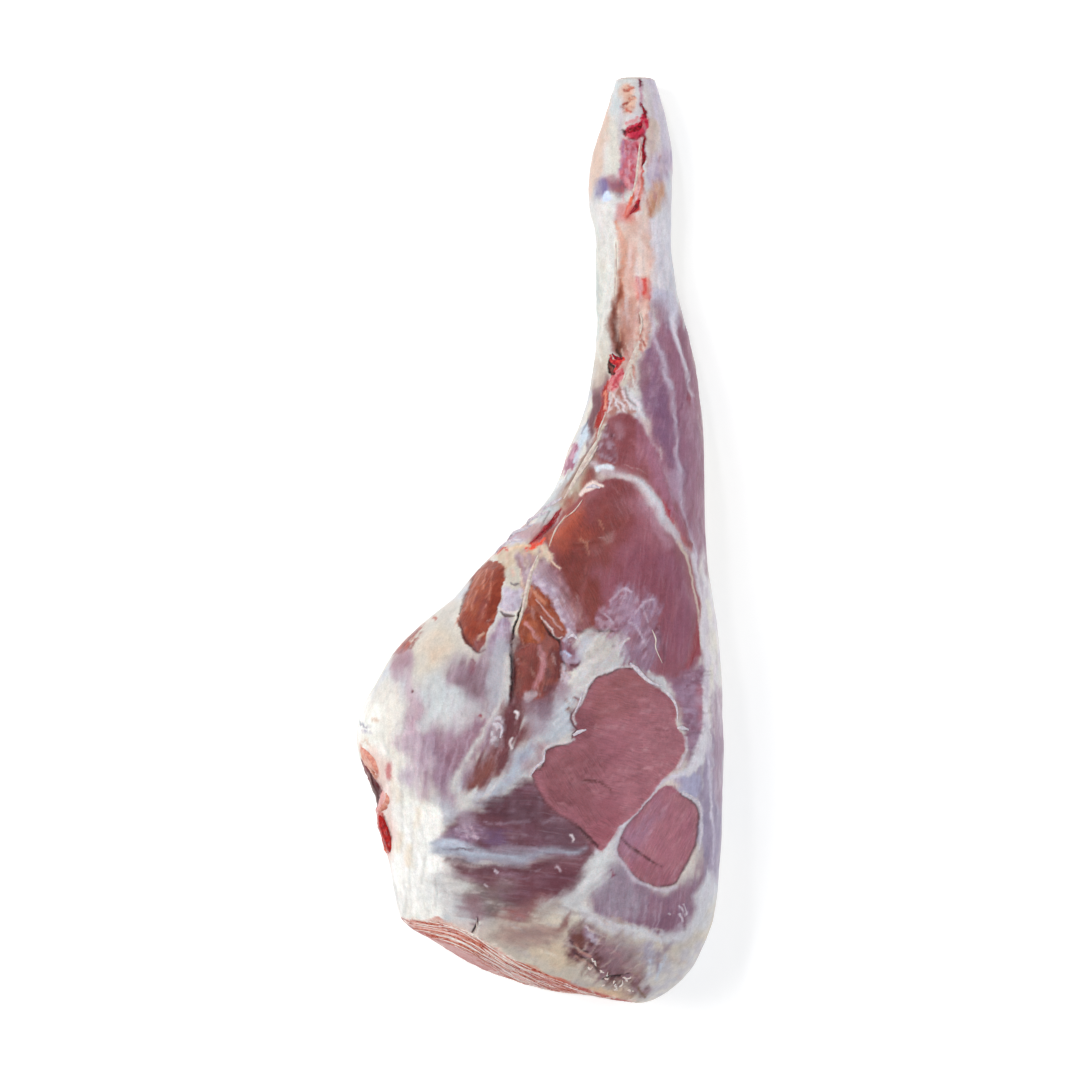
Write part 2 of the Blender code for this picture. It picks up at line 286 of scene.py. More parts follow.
# ---------------------------------------------------------------- muscles of the gaskin
# Long muscles run down from the calf to the shank under milky silverskin, with white seams between them.
coat(MUSCLE, ((62, 119), (67, 129), (73, 129), (83, 101), (87, 79), (93, -38), (89, -33), (69, 26), (55,
     79), (55, 101), (59, 104)), "#9A7185", soft=4, other="#A67C8C", lump=7, grain=-5)
coat(MUSCLE, ((55, 101), (60, 103), (65, 96), (73, 64), (77, 29), (71, 37), (58, 67), (55, 80)),
     "#9A748C", soft=6, feather=1.0, other="#8C6A86", lump=8, grain=-12)
coat(MUSCLE, ((67, 69), (71, 65), (73, 56), (71, 50), (67, 55)), "#8E6A86", soft=8, share=0.6)
coat(MUSCLE, ((67, 113), (72, 116), (82, 75), (85, 32), (82, 10)), "#A4788E", soft=4, share=0.8)
coat(MUSCLE, ((75, 119), (81, 105), (86, 86), (89, 37), (86, 32), (85, 53)), "#A06E82", soft=3, share=0.8)
coat(STAIN, ((80.5, 79.5), (81.5, 75), (83, 70.5)), "#A04456", width=2, soft=2.0, share=0.6)
coat(SILVERSKIN, ((60, 136), (67, 134), (73, 126), (75, 115), (71, 113), (62, 126)), "#C4C0D2", soft=5,
     share=0.85)
coat(SINEW, ((68, 133.5), (72.5, 130), (74.5, 122.5), (72.5, 117), (69.5, 122.5)), "#DAD8E4", soft=3,
     share=0.8, lift=0.4)
coat(SINEW, ((59, 122.5), (62, 109.5), (66.5, 96.5), (70, 83.5), (73, 70.5), (74.5, 53.5), (75, 37.5),
     (76.5, 21), (81, -0.5), (85, -19.5)), "#CCC2D2", width=(1.6, 1.6, 1.6, 2.0, 1.8, 1.6, 1.8, 2.0, 2.4,
     2.8), soft=3.2)
coat(SINEW, ((71.5, 119.5), (73.5, 108.5), (76.5, 97.5), (80, 87), (83, 77)), "#E2DCE6", width=(3.0, 2.6,
     2.0, 1.6, 0.8), soft=2.6)
coat(STAIN, ((83, 77), (85, 59), (86.5, 37.5)), "#B090A6", width=1, soft=1.6, share=0.6)
coat(STAIN, ((86, 64.5), (87.5, 37.5), (89, 10.5)), "#8A5A74", width=2.5, share=0.6)
coat(SINEW, ((42, 75), (47.5, 68.5), (53, 60), (58.5, 51.5), (62.5, 42.5), (67, 31), (70.5, 21), (75.5,
     10.5), (81, -3)), "#CFC6D2", width=(2.6, 2.6, 2.4, 2.4, 2.4, 2.8, 3.2, 3.2, 2.8), soft=3.2)

# The cream web where the tendons of the gaskin meet, with blood beside it.
coat(SILVERSKIN, ((48, 105), (51, 102), (46, 92), (43, 87), (41, 90)), "#C89086", share=0.7)
coat(SINEW, ((55, 109.5), (52, 101), (48.5, 92.5), (45.5, 85), (42, 79.5), (39, 76)), "#D8CDC3",
     width=(3.0, 4.0, 4.2, 4.2, 3.6, 2.4), soft=2.4, ragged=0.8, lift=0.9)
coat(SINEW, ((52.5, 110.5), (56.5, 112), (59, 106.5), (55.5, 102), (52, 104)), "#DCC6BE", other="#C88E80",
     lump=1.6)
coat(SILVERSKIN, ((39, 79), (44, 83), (50, 75), (50, 65), (44, 69), (39, 66), (35, 62), (34, 71)),
     "#CBB3B1", other="#B98A82", lump=2, share=1.0)
for path in (
    ((39.5, 79.5), (41.5, 74), (42.5, 68)),
    ((44.5, 81.5), (47, 76), (51, 70)),
    ((48.5, 80), (53, 73), (55.5, 66.5)),
    ((37.5, 76), (36, 68.5)),
    ((42, 76), (45.5, 72), (47.5, 67.5)),
):
    coat(SINEW, path, "#E4DCE2", width=(0.6, 1.7, 0.8), soft=1.4, ragged=1.2, lift=0.3)
coat(STAIN, ((46.5, 81), (49, 75), (52, 72)), "#8C6664", width=1.0, soft=1.4, share=0.6)
coat(MUSCLE, ((30, 88), (36, 85), (31, 62), (27, 52), (25, 55)), "#865C66", soft=3, other="#96707C",
     lump=4)
coat(STAIN, ((30, 80), (33, 78), (31, 69), (29, 59), (26, 57)), "#7C4E56", soft=2.4, share=0.85)
coat(FAT, ((29, 96), (34, 93), (34, 84), (29, 80)), "#CBBDB2", soft=4, share=0.8)
coat(BLOOD, ((37.5, 89), (43, 91.5), (44.5, 86), (40.5, 80.5), (36.5, 81.5)), "#C65260", soft=2,
     other="#DC9096", lump=1.2, wet=0.5)
coat(BLOOD, ((37.5, 98.5), (39.5, 97), (39.5, 93.5), (40.5, 89.5), (38.5, 88.5), (36.5, 92.5)), "#30060C",
     soft=0.8, lift=-0.8)
coat(BLOOD, ((37.5, 100), (41, 97.5), (45, 98.5), (45.5, 96), (42.5, 93), (40, 90), (39.5, 94.5), (37.5,
     97.5)), "#B0142A", soft=0.8, other="#E8403A", lump=1, lift=0.5, pillow=1.0, wet=1.0)
# Painted shadow: a short dark brown crease beside the clot.
coat(SHADED_CREASE, ((41.5, 102), (43.5, 99)), "#3A1810", width=1.6)
coat(BLOOD, ((36.5, 85), (35.5, 78.5), (33.5, 70.5), (32.5, 64.5), (31, 58)), "#B4261A", width=(1.6, 3.0,
     4.0, 4.0, 2.4), soft=1.2, lift=-0.4)
# A painted highlight down the wet blood streak, and after it a darker line along its other side as painted
# shade.
coat(BLOOD, ((36, 80), (34.5, 75), (33.5, 70.5)), "#EFA488", width=(1.0, 1.6, 0.8), share=0.8)
coat(BLOOD, ((35, 81.5), (33, 73), (31, 65.5)), "#8A1414", width=0.9, share=0.7)
coat(STAIN, ((31.5, 59), (28.5, 52.5)), "#B0705C", width=1.8, soft=1.6, share=0.6)

# Silver and bluish tissue at the front of the knee, and the cream tendon with its groove.
coat(SILVERSKIN, ((2, 18), (9, 21), (11, 15), (6, 8), (-6, -3), (-12, -5), (-14, 1), (-5, 8)), "#CBCBCD",
     share=1.0, fat=0.5)
coat(SILVERSKIN, ((-15, 4), (-9, 6), (-5, 2), (-10, -5), (-17, -6)), "#C9C6D6", share=1.0)
coat(SINEW, ((23, 60), (25.5, 62.5), (26, 56.5), (22.5, 49), (19.5, 41.5), (16.5, 37.5), (15.5, 41.5),
     (19.5, 51.5)), "#CFDAE6", soft=2.4, lift=0.3)
coat(SHADED_CREASE, ((26, 64.5), (22.5, 56.5)), "#5A4A6A", width=0.9, share=0.6)
coat(SILVERSKIN, ((17, 51), (20, 49), (18, 40), (14, 34), (12, 37)), "#A66480", other="#C898AC", lump=2,
     soft=2.4, share=0.95)
coat(SILVERSKIN, ((9, 30), (14, 35), (17, 33), (9, 18), (4, 15), (3, 19)), "#C9D2D6", share=0.95, fat=0.5)
coat(SINEW, ((34.5, 59), (30, 48), (25.5, 38.5), (19.5, 29), (11.5, 18)), "#B9AA9C", width=(3.6, 6.5, 9.0,
     9.0, 6.5), soft=3, other="#C9C2B2", lump=2.4, lift=0.9)
coat(STAIN, ((31, 62), (29.5, 55.5), (27, 50)), "#9A625C", width=(2.4, 2.8, 1.2), soft=2.0, share=0.9)
coat(BLOOD, ((33, 68.5), (32, 62.5), (30, 56.5)), "#AC2A1E", width=(3.0, 3.0, 1.2), soft=1.3)
# The tendon's groove, sunk and painted dark with the shade in it.
coat(SHADED_CREASE, ((27.5, 51), (22.5, 42), (18, 33.5), (14.5, 28)), "#80685A", width=(0.8, 1.7, 1.6, 0.8),
     soft=1.4)
coat(SINEW, ((30, 51.5), (26, 41.5), (20.5, 33)), "#EDE6D6", width=1.2, soft=1.2, share=0.7, lift=0.0)
coat(SHADED_CREASE, ((5, 15.5), (2.5, 10.5), (0.5, 5)), "#6E6A66", width=0.8, share=0.6)
coat(STAIN, ((-21.5, -3), (-15, 0.5), (-9.5, 6)), "#B86A7E", width=1, soft=1.2, share=0.6)
coat(STAIN, ((-28.5, -11.5), (-24.5, -7.5), (-20, -5)), "#B06060", width=1.4, soft=1.2, share=0.8)
GASKIN_AREA = ((59.5, 113), (70, 123.5), (81, 102), (86.5, 75), (88.5, -11.5), (81, -11.5), (73.5, 26.5),
    (54, 75))
strew(21, GASKIN_AREA, 40, ("#B08CA0", "#B898AC", "#C4ACBE"), 30, 1.0, -9, share=0.35)
strew(22, GASKIN_AREA, 30, ("#84566E", "#7A5270", "#965C70"), 26, 1.3, -9, share=0.35)
strew(23, ((36, 90), (43, 102), (58, 119), (59, 107), (52, 90), (48, 75), (36, 64), (32, 75)), 40,
      ("#EDDDD2", "#C6786C", "#B05A50", "#E4C0B2", "#F2E8E0", "#9A4A44"), 6, 0.9, 20)
strew(24, ((43, 215), (56, 217), (54, 188), (50, 176), (42, 188)), 44, ("#B02A3C", "#E89CA4", "#8E1A30",
      "#F0C4C4", "#D0506A"), 7, 0.9, 4)
strew(25, ((44, 246), (51, 246), (51, 230), (45, 231)), 16, ("#C8502C", "#F0D0BC", "#8E2A1C"), 3.2, 0.9,
      70)
strew(26, ((54, 226), (66, 226), (69, 194), (59, 175), (54, 188)), 30, ("#B86A5C", "#E4D4D4", "#C9A0A8",
      "#A884A0", "#D8B09A"), 8, 0.9, 8, share=0.55)
strew(27, ((32, 62), (35, 53), (19, 21), (9, 6), (-14, -4)), 40, ("#EFEBE6", "#D8CEC4", "#B0A0A8",
      "#A8847C", "#E2E6EC"), 12, 0.9, -34)


# ---------------------------------------------------------------- calf muscles
# The round heel muscle is trimmed clean on its left half, where it shows orange-brown, and keeps its
# silverskin on the right, where it looks mauve. A fat seam divides it from the flexor muscle above.
coat(MUSCLE, ((37, 64), (42, 68), (48, 68), (54, 61), (64, 44), (68, 33), (74, 21), (82, -9), (69, 15),
     (54, 31), (46, 35), (30, 38), (36, 56)), "#925259", soft=1.8, feather=0.6, other="#9C6068",
     ragged=0.5, lift=1.0, pillow=5, bare=0.5, veil=0.4, grain=-14)
coat(MUSCLE, ((52, 64), (60, 51), (75, 21), (80, 2), (75, 5), (54, 43)), "#B08096", soft=7, share=0.8)
coat(MUSCLE, ((32, 40), (36, 49), (39, 52), (41, 38), (36, 36)), "#9A5A58", share=0.8)
coat(SILVERSKIN, ((32, 53), (36, 61), (39, 59), (42, 42), (36, 42), (32, 45)), "#A98E9C", soft=2.4,
     other="#8E5A66", lump=2.2, share=0.9)
coat(SILVERSKIN, ((41, 62), (45, 61), (46, 55), (42, 53)), "#B08A96", share=0.6)
coat(STAIN, ((38.5, 55.5), (38.5, 54.5)), "#4A1C24", width=1.0, soft=0.9, share=0.8)
coat(STAIN, ((49.5, 53.5), (55, 45), (59.5, 35)), "#B47C86", width=1.6, soft=1.6, share=0.5)

HEEL_MUSCLE = ((32, 31.5), (40.5, 33.5), (47, 31.5), (53, 26.5), (59, 18.5), (65, 9.5), (70.5, 3),
    (76.5, -2.5), (80.5, -10.5), (83, -20), (86, -33), (87, -46.5), (87, -59), (85, -66.5), (80, -72),
    (72.5, -76), (63.5, -74), (54, -67.5), (41, -54.5), (30, -51.5), (18.5, -50), (9.5, -33), (5.5, -19.5),
    (4, -5), (6, 5), (9, 11), (14, 16.5), (21.5, 23), (27, 27.5))
coat(MUSCLE, HEEL_MUSCLE, "#985C68", soft=1.6, feather=0.5, other="#A06672", lump=12, ragged=0.4,
     lift=1.8, pillow=9, bare=0.4, veil=0.4, grain=-6)
coat(BARE_MUSCLE, ((31.5, 32), (42, 33), (51, 23), (44.5, 1.5), (36.5, -22), (38, -41.5), (28, -52.5),
     (17.5, -51.5), (7.5, -31), (2.5, -11.5), (5, 7), (14, 18)), "#8F4B48", soft=24, feather=0.8,
     other="#87433E", lump=12, grain=22)
coat(BARE_MUSCLE, ((12, 18), (24, 24.5), (28, 16.5), (25, 5), (17.5, -4), (8, -6), (6.5, 4), (8.5, 12.5)),
     "#BE644C", soft=18, feather=0.8, other="#B05A46", lump=8, grain=22)
coat(BARE_MUSCLE, ((7, -5), (19, -9), (32.5, -14.5), (32.5, -31), (21.5, -28.5), (9.5, -22)), "#823C36",
     soft=16, feather=0.8, grain=22)
coat(BARE_MUSCLE, ((12, -28.5), (24, -29.5), (32.5, -39.5), (30, -49), (19.5, -49)), "#8C4A44", soft=12,
     share=0.8, grain=22)
coat(MUSCLE, ((33, 32), (42, 33), (49, 28), (48, 15), (39, 8), (32, 17)), "#8E4E52", soft=12, share=0.7)
coat(SHADED_CREASE, ((8.5, -2), (16, -4.5), (26, -3), (35.5, -1)), "#7E352C", width=(1.0, 2.0, 1.6, 0.6),
     soft=1.8, share=0.6)
for path in (((23, -0.5), (25.5, -5)), ((26, -2), (27, -8.5)), ((32.5, 10.5), (34.5, 5))):
    coat(STAIN, path, "#D09A84", width=0.7, soft=1.0, share=0.6)
coat(MUSCLE, ((36, -28), (44, -9), (59, -3), (76, -22), (82, -55), (78, -70), (66, -70), (54, -44), (41,
     -38)), "#955B6B", soft=12, feather=3, share=0.85)
coat(MUSCLE, ((65, -3), (76, -17), (81, -38), (83, -57), (78, -63), (71, -52)), "#9C687C", soft=8,
     feather=2, share=0.85)
coat(MUSCLE, ((48, 26), (57, 20), (66, 9), (70, -2), (64, -4), (54, 6)), "#B07C88", soft=14, share=0.75)
coat(MUSCLE, ((79, -7), (83, -22), (86, -38), (86, -55), (84, -64), (78, -71)), "#98283C", width=(2.4,
     3.4, 4.4, 5.0, 4.4, 2.4), soft=3.6, feather=0.5, share=0.95)
coat(BLOOD, ((65.5, 21), (69, 14.5), (72.5, 8)), "#B02038", width=(0.8, 2.2, 0.9))
coat(STAIN, ((72.5, 9), (76.5, 1.5), (81, -7)), "#C07A78", width=1.2, soft=1.4, share=0.7)
coat(SINEW, ((30, 38), (35.5, 38), (42, 36), (48.5, 33), (54.5, 27.5), (59.5, 21.5), (64.5, 14), (68.5,
     7.5), (74, 1), (79.5, -9)), "#CFC6CE", width=(3.0, 3.4, 3.2, 3.4, 4.2, 5.2, 5.4, 4.6, 3.0, 1.8),
     soft=6, share=0.9, lift=0.5)
coat(STAIN, ((54, 21), (59, 14), (65, 4), (69, -4)), "#C39AAA", width=(2.4, 4.0, 5.0, 3.0), soft=5,
     share=0.7)
coat(SINEW, ((74.5, -1), (79, -11.5), (82, -21), (84, -33), (85.5, -45)), "#DCD0C4", width=(1.4, 1.8, 1.6,
     1.4, 0.8), soft=1.6, share=0.85, lift=0.2)
coat(SINEW, ((52, 32), (58.5, 25.5), (63, 18.5), (67, 11.5)), "#D9DAE2", width=(1.8, 2.8, 3.0, 1.8),
     soft=3.2, share=0.85)
coat(SINEW, ((31.5, 37.5), (34.5, 39), (39, 38.5)), "#DDE2EA", width=2.6, soft=1.6)
coat(SINEW, ((21.5, 24), (26, 27.5), (30, 29.5), (33.5, 28.5)), "#EEDDD8", width=(1.4, 3.4, 3.6, 1.4),
     soft=1.4, lift=0.7)
coat(SINEW, ((14, 12.5), (8.5, 5), (5, -4)), "#DBA48C", width=(0.9, 1.2, 0.8), soft=1.2)

# Lilac scraps of silverskin left on the heel muscle's lower end.
coat(SILVERSKIN, ((44, -26), (50, -28), (51, -36), (48, -44), (42, -48), (36, -45), (37, -36)), "#A58BA0",
     soft=5, ragged=1.8, feather=2.5, other="#BBA7BC", lump=2.6, share=0.75, grain=-20)
coat(SILVERSKIN, ((54, -34), (59, -32), (63, -39), (54, -59), (48, -60), (43, -52)), "#AE9AB2", soft=5,
     ragged=1.8, feather=2.5, other="#98788C", lump=3, share=0.85, grain=-20)
coat(SILVERSKIN, ((32, -37), (40, -37), (43, -46), (36, -50), (30, -47)), "#B79CAC", ragged=1.8,
     other="#946878", lump=2)
coat(MUSCLE, ((41, -53), (60, -51), (64, -61), (63, -71), (54, -72), (45, -68)), "#977385", feather=2.5,
     other="#9C8094", lump=3, grain=-20)
for path, width in (
    (((38, -33), (44.5, -27.5), (48.5, -28.5)), 1.1),
    (((51, -39.5), (56, -34), (60.5, -33)), 1.2),
    (((47.5, -45), (53, -49), (56, -55.5)), 0.9),
    (((34.5, -40.5), (39, -46)), 1.0),
    (((54, -36), (58.5, -45)), 0.8),
):
    coat(SINEW, path, "#CFC0D0", width=width, soft=1.4, share=0.75, lift=0.3)
coat(SHADED_CREASE, ((62, -49), (64.5, -55.5), (67, -65.5)), "#5E3040", width=1.0, soft=1.2, share=0.6)
coat(SHADED_CREASE, ((17.5, -49), (25, -50), (33.5, -49.5), (43, -50)), "#4E2228", width=(0.6, 1.5, 1.5, 0.7),
     soft=0.8, lift=-0.8)

# ---------------------------------------------------------------- front of the stifle
# The oval thigh muscle, a lilac sinew sheath beside it, and the cleft where the butcher parted the muscles.
OVAL_MUSCLE = ((-30, -13.5), (-25, -12), (-19.5, -14), (-18.5, -20.5), (-21, -28.5), (-22, -35),
    (-24.5, -43), (-28, -50), (-31.5, -58), (-34.5, -60.5), (-40, -56.5), (-43, -50), (-44.5, -42.5),
    (-42, -34.5), (-39, -27), (-35, -19))
coat(SILVERSKIN, ((-23, -7), (-15, -3), (-4, -2), (4, -5), (5, -15), (-6, -33), (-21, -15)), "#CDBBA6",
     other="#D9CDBC", lump=3, share=1.0, fat=0.5, veil=0.4)
coat(SILVERSKIN, ((-11, -7), (0, -9), (9, -19), (16, -33), (17, -48), (10, -47), (-9, -22)), "#A58A96",
     soft=4, feather=1.0, other="#B9A0AE", lump=3, share=0.9, grain=30)
coat(BARE_MUSCLE, OVAL_MUSCLE, "#8F3F2C", soft=1.0, other="#A25038", lump=2.4, lift=1.4, pillow=5,
     grain=-24)
coat(BARE_MUSCLE, ((-39, -27.5), (-33.5, -19.5), (-29, -22), (-32.5, -36), (-35.5, -47), (-41, -43.5)),
     "#A85A3C", soft=4, feather=1.4, share=0.8, grain=-24)
coat(MUSCLE, ((-33, -33), (-29, -31), (-30, -42), (-35, -51), (-38, -48)), "#8A3A34", soft=3, share=0.7,
     grain=-24)
# The oval muscle's outline, painted dark with the shade where it meets the tissue round it.
coat(SHADED_CREASE, ((-30, -13.5), (-35, -19), (-39, -27), (-42.5, -35.5), (-43.5, -43.5), (-41, -52.5), (-35.5,
     -59.5)), "#6A2A24", width=1.0, soft=1.2, share=0.6)
for path in (
    ((-28, -16.5), (-30, -27.5)),
    ((-33.5, -28.5), (-36.5, -39.5)),
    ((-25, -18), (-27, -33)),
    ((-29, -36), (-32.5, -48)),
    ((-38, -33), (-40, -42.5)),
):
    coat(SINEW, path, "#D99A86", width=0.7, soft=1.0, share=0.6, lift=0.2)
coat(SINEW, ((-44, -41.5), (-43.5, -42.5)), "#EDE0DA", width=1.6, soft=1.0)
coat(SINEW, ((-33, -53), (-31, -51.5)), "#E6D3CC", width=1.5, soft=1.2)
coat(SILVERSKIN, ((-20, -28), (-13, -22), (-10, -25), (-10, -33), (-12, -38), (-17, -40), (-21, -37)),
     "#B9AABB", soft=2.0, other="#CCC4D2", lump=3, share=1.0, lift=1.4, pillow=3.5, fat=0.4)
coat(FAT, ((-18, -17), (-14, -15), (-10, -18), (-10, -25), (-14, -28), (-17, -25)), "#CFCAC0", soft=2.4,
     lift=0.4)
coat(SHADED_CREASE, ((-15.5, -24), (-13.5, -25.5), (-11.5, -24.5)), "#7A6A76", width=0.9)
coat(SINEW, ((-19.5, -28.5), (-18.5, -34), (-15.5, -37.5)), "#DDD6E2", width=1.2, soft=1.6, share=0.8)
coat(SILVERSKIN, ((-22, -43), (-16, -43), (-14, -47), (-17, -60), (-24, -65), (-30, -63)), "#A890A4",
     soft=4, other="#B8A6B6", lump=4, share=1.0, lift=0.4)
coat(SINEW, ((-20, -43.5), (-21.5, -51.5), (-25.5, -60)), "#C3B8CC", width=1.6, soft=1.8, share=0.7)
coat(SHADED_CREASE, ((-21, -39), (-18.5, -41), (-14, -41.5)), "#4A2228", width=(1.0, 2.4, 0.8))
coat(SINEW, ((-21.5, -37.5), (-17.5, -39.5), (-12.5, -39.5)), "#E6DADB", width=0.9, soft=1.0)

# Slices of bare muscle stand between the clefts.
coat(BARE_MUSCLE, ((-6.5, -24.5), (0.5, -26.5), (8.5, -36), (16, -46.5), (18, -54.5), (16, -65.5), (12,
     -81.5), (4.5, -93.5), (-5.5, -95.5), (-15, -93.5), (-15.5, -81.5), (-14.5, -65.5), (-12.5, -51.5),
     (-9.5, -36)), "#86463F", soft=3, ragged=1.2, other="#97524A", lump=4, grain=-8)
coat(BARE_MUSCLE, ((-6, -25), (0.5, -27), (7.5, -36), (15.5, -46.5), (14.5, -51.5), (10.5, -50), (1,
     -41.5), (-5, -38.5), (-8, -33.5)), "#A6583A", other="#94482E", lump=3, lift=0.8, grain=35)
# A painted highlight: a peach glint along the slice.
coat(STAIN, ((-4.5, -26.5), (-1, -31), (3, -36)), "#DDA68E", width=1.8, soft=2.0, share=0.6)
coat(BARE_MUSCLE, ((-8.5, -42.5), (-3, -40), (2, -45), (2, -54.5), (-5.5, -56), (-11.5, -54.5)),
     "#964C32", other="#AC6244", lump=3, lift=0.8, grain=10)
coat(BARE_MUSCLE, ((-12, -59), (-5.5, -56.5), (-1.5, -61), (-2, -73), (-5.5, -81.5), (-11, -85), (-13.5,
     -78.5), (-13.5, -66.5)), "#80423C", other="#94504A", lump=4, lift=0.8, grain=-6)
coat(BARE_MUSCLE, ((4, -62), (8.5, -58), (12, -62), (11.5, -72), (8.5, -80.5), (4.5, -85.5), (1.5, -81.5),
     (2.5, -70.5)), "#74393A", other="#8A4A42", lump=3, lift=0.8, pillow=2.5, grain=-10)
coat(STAIN, ((0, -58), (1, -66), (-1, -74), (-3, -80)), "#BE8A92", width=(1.2, 3.4, 3.4, 2.0), soft=2.6,
     share=0.85)
coat(STAIN, ((-7, -46), (-4.5, -50), (-0.5, -54.5)), "#D0A0A4", width=1.2, soft=1.6, share=0.8)
coat(STAIN, ((-12, -87), (-5, -90), (3, -89), (6, -82)), "#7C4A52", width=6, soft=5, share=0.7)
coat(SILVERSKIN, ((-5, -17), (1, -21), (7, -29), (19, -50), (17, -55), (6, -34), (-5, -22)), "#B9A6B9",
     soft=2.4, feather=1.0, other="#D3C7D4", lump=2.4, share=0.95, lift=0.5, grain=30)
coat(SILVERSKIN, ((5, -15), (13, -20), (19, -30), (24, -40), (24, -49), (18, -45), (13, -32), (6, -22)),
     "#8C5E66", soft=5, feather=1.4, other="#A67E8A", lump=3, share=0.75, grain=30)
coat(SINEW, ((-2, -33), (3, -39.5), (7.5, -45), (12, -49)), "#D8BCC0", width=(0.6, 1.0, 1.0, 0.6),
     soft=1.2, share=0.7)
coat(SINEW, ((0, -42), (4, -46.5), (7.5, -51.5), (11.5, -53)), "#E4D8D8", width=(0.6, 1.0, 1.0, 0.6),
     ragged=1.0, soft=1.2, lift=0.4)
# The clefts are sunk, and painted near black with the shade inside them.
coat(SHADED_CREASE, ((1, -45), (5.5, -51.5), (10.5, -54.5), (11.5, -60), (13, -67.5), (14, -70.5)), "#2E141A",
     width=(0.5, 1.4, 1.6, 1.5, 1.3, 0.5), soft=0.8, lift=-1.4)
coat(SINEW, ((-1, -10.5), (-4.5, -18), (-5.5, -22), (-7.5, -31), (-9, -38.5), (-11, -45), (-13, -53.5)),
     "#D6CDBE", width=(1.0, 1.6, 1.8, 2.0, 2.2, 1.8, 0.8), soft=1.2, lift=0.5)
coat(SHADED_CREASE, ((-15, -62.5), (-14.5, -72), (-15, -81.5), (-15.5, -90), (-16.5, -95.5)), "#4E1A22",
     width=(2.4, 3.4, 3.2, 2.6, 0.8), soft=1.8, share=0.95, lift=-1.0)
coat(SHADED_CREASE, ((-8, -29), (-9.5, -35), (-11.5, -41.5), (-13.5, -47.5), (-15, -53.5), (-16, -60.5), (-15.5,
     -69.5), (-15.5, -81.5)), "#26100F", width=(0.5, 0.9, 1.1, 1.3, 1.5, 1.3, 0.9, 0.4), soft=0.9,
     ragged=0.5, share=1.0, lift=-1.6)
coat(SINEW, ((-17.5, -63), (-18, -69.5), (-18.5, -76)), "#E0D4CC", width=1.1, soft=1.2, ragged=0.8)
coat(SINEW, ((-8, -83), (-4.5, -81.5), (-1.5, -82.5), (-3, -86.5), (-7, -89), (-8.5, -86.5)), "#C4B6BE",
     ragged=0.8, share=0.8)
coat(SILVERSKIN, ((12, -55), (17, -50), (23, -52), (24, -60), (22, -68), (17, -71), (12, -65)), "#B5A6B8",
     soft=2.4, other="#8C5A6C", lump=2.2, share=0.95)
coat(SINEW, ((13.5, -61), (15.5, -63.5)), "#C2C9E0", width=1.6, soft=1.2)
coat(SHADED_CREASE, ((16, -68), (19, -69), (21.5, -66.5)), "#5E3038", width=1.2, share=0.7)
coat(SILVERSKIN, ((11, -70), (14, -70), (15, -78), (13, -85), (10, -87)), "#CFC6D0", soft=2.4, share=0.9)
coat(SINEW, ((4.5, -7), (6.5, -12.5), (11, -16.5)), "#E6CDBC", width=0.9, soft=1.0)
coat(BLOOD, ((10.5, 16), (7, 11), (3, 5), (-1, 0.5), (-6, -4)), "#9A0A18", width=(1.4, 2.8, 3.8, 3.4,
     1.8), ragged=0.7, lift=-0.8)
coat(BLOOD, ((6.5, 8), (2.5, 2.5)), "#5A060E", width=1.4, share=0.8)
coat(BLOOD, ((2.5, -0.5), (-2, -3), (-7.5, -5.5)), "#E8583A", width=(1.4, 2.4, 1.4), soft=1.2)
coat(BLOOD, ((-4, -2.5), (-7, -5)), "#D01810", width=1.3)
coat(SINEW, ((-15.5, -5.5), (-11, -4.5), (-5.5, -4)), "#E9CDB2", width=1.2, soft=1.2)
coat(BLOOD, ((-22.5, -7.5), (-20.5, -5), (-17.5, -5.5)), "#D0604E", width=1.4)

# ---------------------------------------------------------------- white fat across the thigh
# A band of hard white fat slants over the middle of the leg, and thins out over the muscles beside it.
coat(FAT, ((17, -51), (40, -52), (48, -57), (42, -66), (26, -80), (17, -104), (0, -119), (-5, -129), (-15,
     -138), (-54, -156), (-59, -141), (-42, -137), (-22, -126), (-1, -109), (9, -88), (16, -78), (22,
     -68)), "#C4C4CC", ragged=1.4, feather=0.8, other="#D0CECC", lump=8, lift=1.0, pillow=6, grain=-40)
coat(FAT, ((28, -53), (38, -53), (41, -59), (36, -66), (28, -72), (23, -71)), "#CCC6C2", feather=0.8,
     grain=-40)
coat(FAT, ((17, -74), (25, -70), (27, -76), (23, -85), (17, -84)), "#CDCBCB", soft=4, share=0.9)
coat(FAT, ((7, -89), (18, -88), (21, -96), (18, -104), (3, -112), (3, -100)), "#BCC2CB", soft=4,
     feather=1.0, share=0.9, grain=-40)
coat(FAT, ((-19, -129), (-8, -115), (0, -110), (2, -115), (-13, -133)), "#C2C3C9", soft=4, feather=1.0,
     share=0.9, grain=-40)
coat(MUSCLE, ((-9, -90), (9, -89), (8, -99), (0, -107), (-6, -111), (-11, -103)), "#9C8894", soft=10,
     feather=1.0, other="#A898A4", lump=4, share=0.8, grain=-40)
coat(SINEW, ((42, -62.5), (45.5, -57), (48.5, -54.5)), "#E9E6E6", width=1.2, soft=1.4, share=0.8)
coat(SHADED_CREASE, ((25, -66.5), (28, -62), (32.5, -59)), "#A49C9C", width=0.9, share=0.5)
for path, tone in (
    (((14, -87), (15, -88.5)), "#8A5A48"),
    (((15, -92), (16.5, -93)), "#7A4A3C"),
    (((18.5, -86.5), (20.5, -87.5)), "#6A3A40"),
):
    coat(STAIN, path, tone, width=1.5, soft=1.4, share=0.85)
strew(31, HEEL_MUSCLE, 44, ("#B0707A", "#A8667A", "#BE8484"), 20, 1.2, -12, share=0.22, soft=2.4)
strew(32, HEEL_MUSCLE, 40, ("#7C3C3E", "#82424C", "#7A3A34"), 16, 1.2, -12, share=0.25, soft=2.4)
